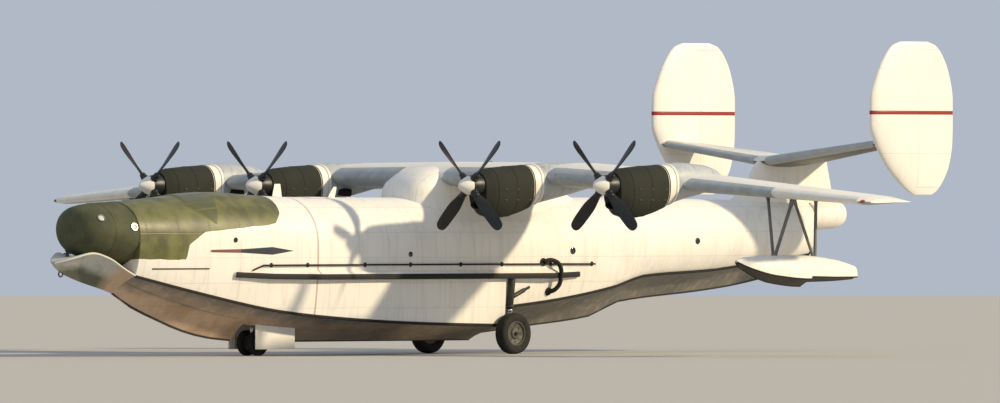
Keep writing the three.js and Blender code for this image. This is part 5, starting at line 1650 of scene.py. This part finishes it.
def wheel_hub(name, centre, radius, width, side):
    """A cast hub with a rolled rim, a dished face with round holes, a cap and a ring of bolts."""
    rim, half = radius * 0.585, width / 2
    profile = [
        (0.001, -half * 0.5 * side), (rim * 0.9, -half * 0.5 * side), (rim, -half * 0.7 * side),
        (rim, half * 0.78 * side), (rim * 0.93, half * 0.78 * side), (rim * 0.86, half * 0.5 * side),
        (rim * 0.5, half * 0.42 * side), (rim * 0.42, half * 0.62 * side), (rim * 0.3, half * 0.66 * side),
        (0.001, half * 0.66 * side)]
    pieces = [loft(name, turned(profile, centre, (0, 1, 0), 40))]
    out = Vector((0, half * side, 0))
    for i in range(8):
        spoke = Vector((math.cos(math.tau * i / 8), 0, math.sin(math.tau * i / 8)))
        seat = Vector(centre) + spoke * rim * 0.36
        pieces.append(bar("bolt", seat + out * 0.6, seat + out * 0.7, rim * 0.035, 8, bevel=0))
        seat = Vector(centre) + spoke * rim * 0.68
        pieces.append(loft("hole_rim", turned(
            [(rim * 0.1, -0.01), (rim * 0.115, 0.012), (rim * 0.08, 0.012), (rim * 0.07, -0.004)],
            seat + out * 0.47, (0, side, 0.0001), 16)))
    return joined(name, pieces)


def wheel(kind, side_name, centre, radius, width, body, nodes):
    """One dressed wheel: a tyre, which stands for the wheel's node, and a hub that faces outwards."""
    rubber = tyre(f"{kind}_tyre_{side_name}", centre, radius * TYRE_SHARE, width)
    dress(rubber, "rubber", body, nodes)
    metal = wheel_hub(f"{kind}_hub_{side_name}", centre, radius, width, SIDES[side_name])
    dress(metal, "hub", body)


class BOAT_OT_main_gear(bpy.types.Operator):
    """Makes the main wheels and legs"""

    bl_idname = "boat.main_gear"
    bl_label = "Main undercarriage"

    def execute(self, context):
        for side_name, side in SIDES.items():
            node = f"main_wheel_{side_name}"
            low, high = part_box(node)
            centre = (low + high) / 2
            wheel("main", side_name, centre, MAIN_RADIUS, MAIN_WIDTH, body_of(node), (node,))
            leg = f"main_leg_{side_name}"
            dress(merged(leg, f"{leg}_skin"), "steel", nodes=(leg,), angle=50)
            x, y = station(MAIN_GEAR_AFT), side * 1.6
            rod = joined(f"main_oleo_{side_name}", [
                bar("rod", (x, y, 1.02), (x, side * 1.606, 1.34), 0.074, 24),
                bar("gland", (x, y, 1.30), (x, side * 1.608, 1.40), 0.098, 24),
                bar("nut", (x, side * 1.574, 0.86), (x, side * 1.58, 0.94), 0.088, 24)])
            dress(rod, "chrome")
            casing = joined(f"main_leg_casing_{side_name}", [
                bar("casing", (x, side * 1.611, 1.45), (x, side * 1.719, 2.38), 0.115, 24),
                bar("collar", (x, side * 1.611, 1.44), (x, side * 1.62, 1.54), 0.14, 24),
                bar("brace", (x - 0.14, side * 1.63, 1.793), (x - 0.67, side * 1.592, 1.993), 0.068, 20)])
            dress(casing, "steel")
            brake = loft(f"brake_pack_{side_name}", turned(
                [(0.07, 0.0), (0.2, 0.0), (0.24, 0.02), (0.24, 0.1), (0.2, 0.12), (0.07, 0.12)],
                (centre.x, side * 1.63, centre.z), (0, side, 0.0001), 32), closed=True)
            dress(brake, "cast")
            line = [straight(BRAKE_PIPE, 0.72 + 1.58 * i / 16) for i in range(17)]
            places = [Vector((x + out, side * y, z)) for z, out, y in line]
            dress(tube(f"brake_pipe_{side_name}", places, 0.012, 8), "soot")
        return {"FINISHED"}


class BOAT_OT_nose_gear(bpy.types.Operator):
    """Makes the nose wheels, leg and doors"""

    bl_idname = "boat.nose_gear"
    bl_label = "Nose undercarriage"

    def execute(self, context):
        low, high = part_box("nose_wheels")
        middle, body = (low + high) / 2, body_of("nose_wheels")
        for side_name, side in SIDES.items():
            centre = middle + Vector((0, side * NOSE_WHEEL_Y, 0))
            nodes = ("nose_wheels",) if side > 0 else ()
            wheel("nose", side_name, centre, NOSE_RADIUS, NOSE_WIDTH, body, nodes)
        axle = bar("nose_axle", middle + Vector((0, -0.2, 0)), middle + Vector((0, 0.2, 0)), 0.0595, 24)
        dress(axle, "chrome", body)
        for node in ("nose_leg", "nose_steering"):
            dress(merged(node, f"{node}_skin"), "steel", body_of(node), (node,), 50)
        rod = bar("nose_oleo", (middle.x, 0, 0.62), (middle.x, 0, 0.98), 0.086, 24)
        dress(rod, "chrome", body_of("nose_steering"))
        for side_name, side in SIDES.items():
            node = f"nose_door_{side_name}"
            low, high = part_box(node)
            door = [block("plate", (low.x, low.y, low.z), (high.x, high.y, high.z + 0.1), 0.012)]
            for i in range(4):
                x = low.x + (high.x - low.x) * (0.14 + 0.24 * i)
                inner = min(low.y, high.y, key=abs)
                door.append(block("rib", (x - 0.025, min(inner, inner - side * 0.02), low.z + 0.06),
                                  (x + 0.025, max(inner, inner - side * 0.02), high.z), 0.006))
            dress(joined(f"{node}_plate", door), "white", nodes=(node,))
        return {"FINISHED"}


class BOAT_OT_stage(bpy.types.Operator):
    """Lays the floor and sets the lights and the camera"""

    bl_idname = "boat.stage"
    bl_label = "Stage"

    def execute(self, context):
        size = context.scene.boat_stage
        deselect()
        bpy.ops.mesh.primitive_circle_add(vertices=96, radius=size.floor_radius, fill_type="NGON")
        floor = bpy.context.object
        floor.name = "floor"
        material, _, shader, _ = start_finish("matt_studio_floor", roughness=0.9)
        shader.inputs["Base Color"].default_value = linear("#bdb9b1")
        floor.data.materials.append(material)

        world = bpy.data.worlds.new("studio")
        world.use_nodes = True
        background = world.node_tree.nodes["Background"]
        sky, strength = SKY
        background.inputs["Color"].default_value = linear(sky)
        background.inputs["Strength"].default_value = strength
        context.scene.world = world
        context.scene.view_settings.view_transform = "Standard"

        level = math.cos(size.sun_height)
        to_sun = Vector((
            -math.sin(size.sun_aft) * level, math.cos(size.sun_aft) * level, math.sin(size.sun_height)))
        deselect()
        bpy.ops.object.light_add(type="SUN", rotation=to_sun.to_track_quat("Z", "Y").to_euler())
        key = bpy.context.object.data
        colour, key.energy, width = KEY_LIGHT
        key.color = linear(colour)[:3]
        key.angle = math.radians(width)

        centre = Vector(VIEW_CENTRE)
        away = Vector((math.sqrt(0.5), math.sqrt(0.5), 0))
        camera = bpy.data.objects.new("camera", bpy.data.cameras.new("camera"))
        context.scene.collection.objects.link(camera)
        camera.location = centre + away * size.distance + Vector((0, 0, 0.6))
        camera.rotation_euler = (centre - camera.location).to_track_quat("-Z", "Y").to_euler()
        camera.data.sensor_width = 36
        camera.data.lens = 36 * size.distance / size.view_width
        camera.data.clip_start = 10
        camera.data.clip_end = 2000
        context.scene.camera = camera
        return {"FINISHED"}


OPERATORS = [
    BOAT_OT_hull, BOAT_OT_nose, BOAT_OT_windscreen, BOAT_OT_hull_trim, BOAT_OT_fairing, BOAT_OT_surfaces,
    BOAT_OT_fins, BOAT_OT_boots, BOAT_OT_cowls, BOAT_OT_propellers, BOAT_OT_floats, BOAT_OT_main_gear,
    BOAT_OT_nose_gear, BOAT_OT_stage,
]
SETTINGS = {
    "boat_paint": PaintSettings, "boat_plating": PlatingSettings, "boat_engine": EngineSettings,
    "boat_stage": StageSettings,
}


class BOAT_PT_parts(bpy.types.Panel):
    """Lists the pieces of the boat and their settings"""

    bl_idname = "BOAT_PT_parts"
    bl_label = "Flying Boat"
    bl_space_type = "VIEW_3D"
    bl_region_type = "UI"
    bl_category = "Flying Boat"

    def draw(self, context):
        for operator in OPERATORS:
            self.layout.operator(operator.bl_idname)
        for group in SETTINGS:
            for key in SETTINGS[group].__annotations__:
                self.layout.prop(getattr(context.scene, group), key)


def register():
    """Registers the settings, the operators and the panel."""
    for group, settings in SETTINGS.items():
        bpy.utils.register_class(settings)
        setattr(bpy.types.Scene, group, PointerProperty(type=settings))
    for operator in OPERATORS:
        bpy.utils.register_class(operator)
    bpy.utils.register_class(BOAT_PT_parts)


def unregister():
    """Takes them all off again."""
    bpy.utils.unregister_class(BOAT_PT_parts)
    for operator in reversed(OPERATORS):
        bpy.utils.unregister_class(operator)
    for group, settings in reversed(list(SETTINGS.items())):
        delattr(bpy.types.Scene, group)
        bpy.utils.unregister_class(settings)


def main():
    """Makes every piece in order."""
    register()
    make_finishes()
    for operator in OPERATORS:
        group, name = operator.bl_idname.split(".")
        getattr(getattr(bpy.ops, group), name)()
    deselect()


if __name__ == "__main__":
    main()
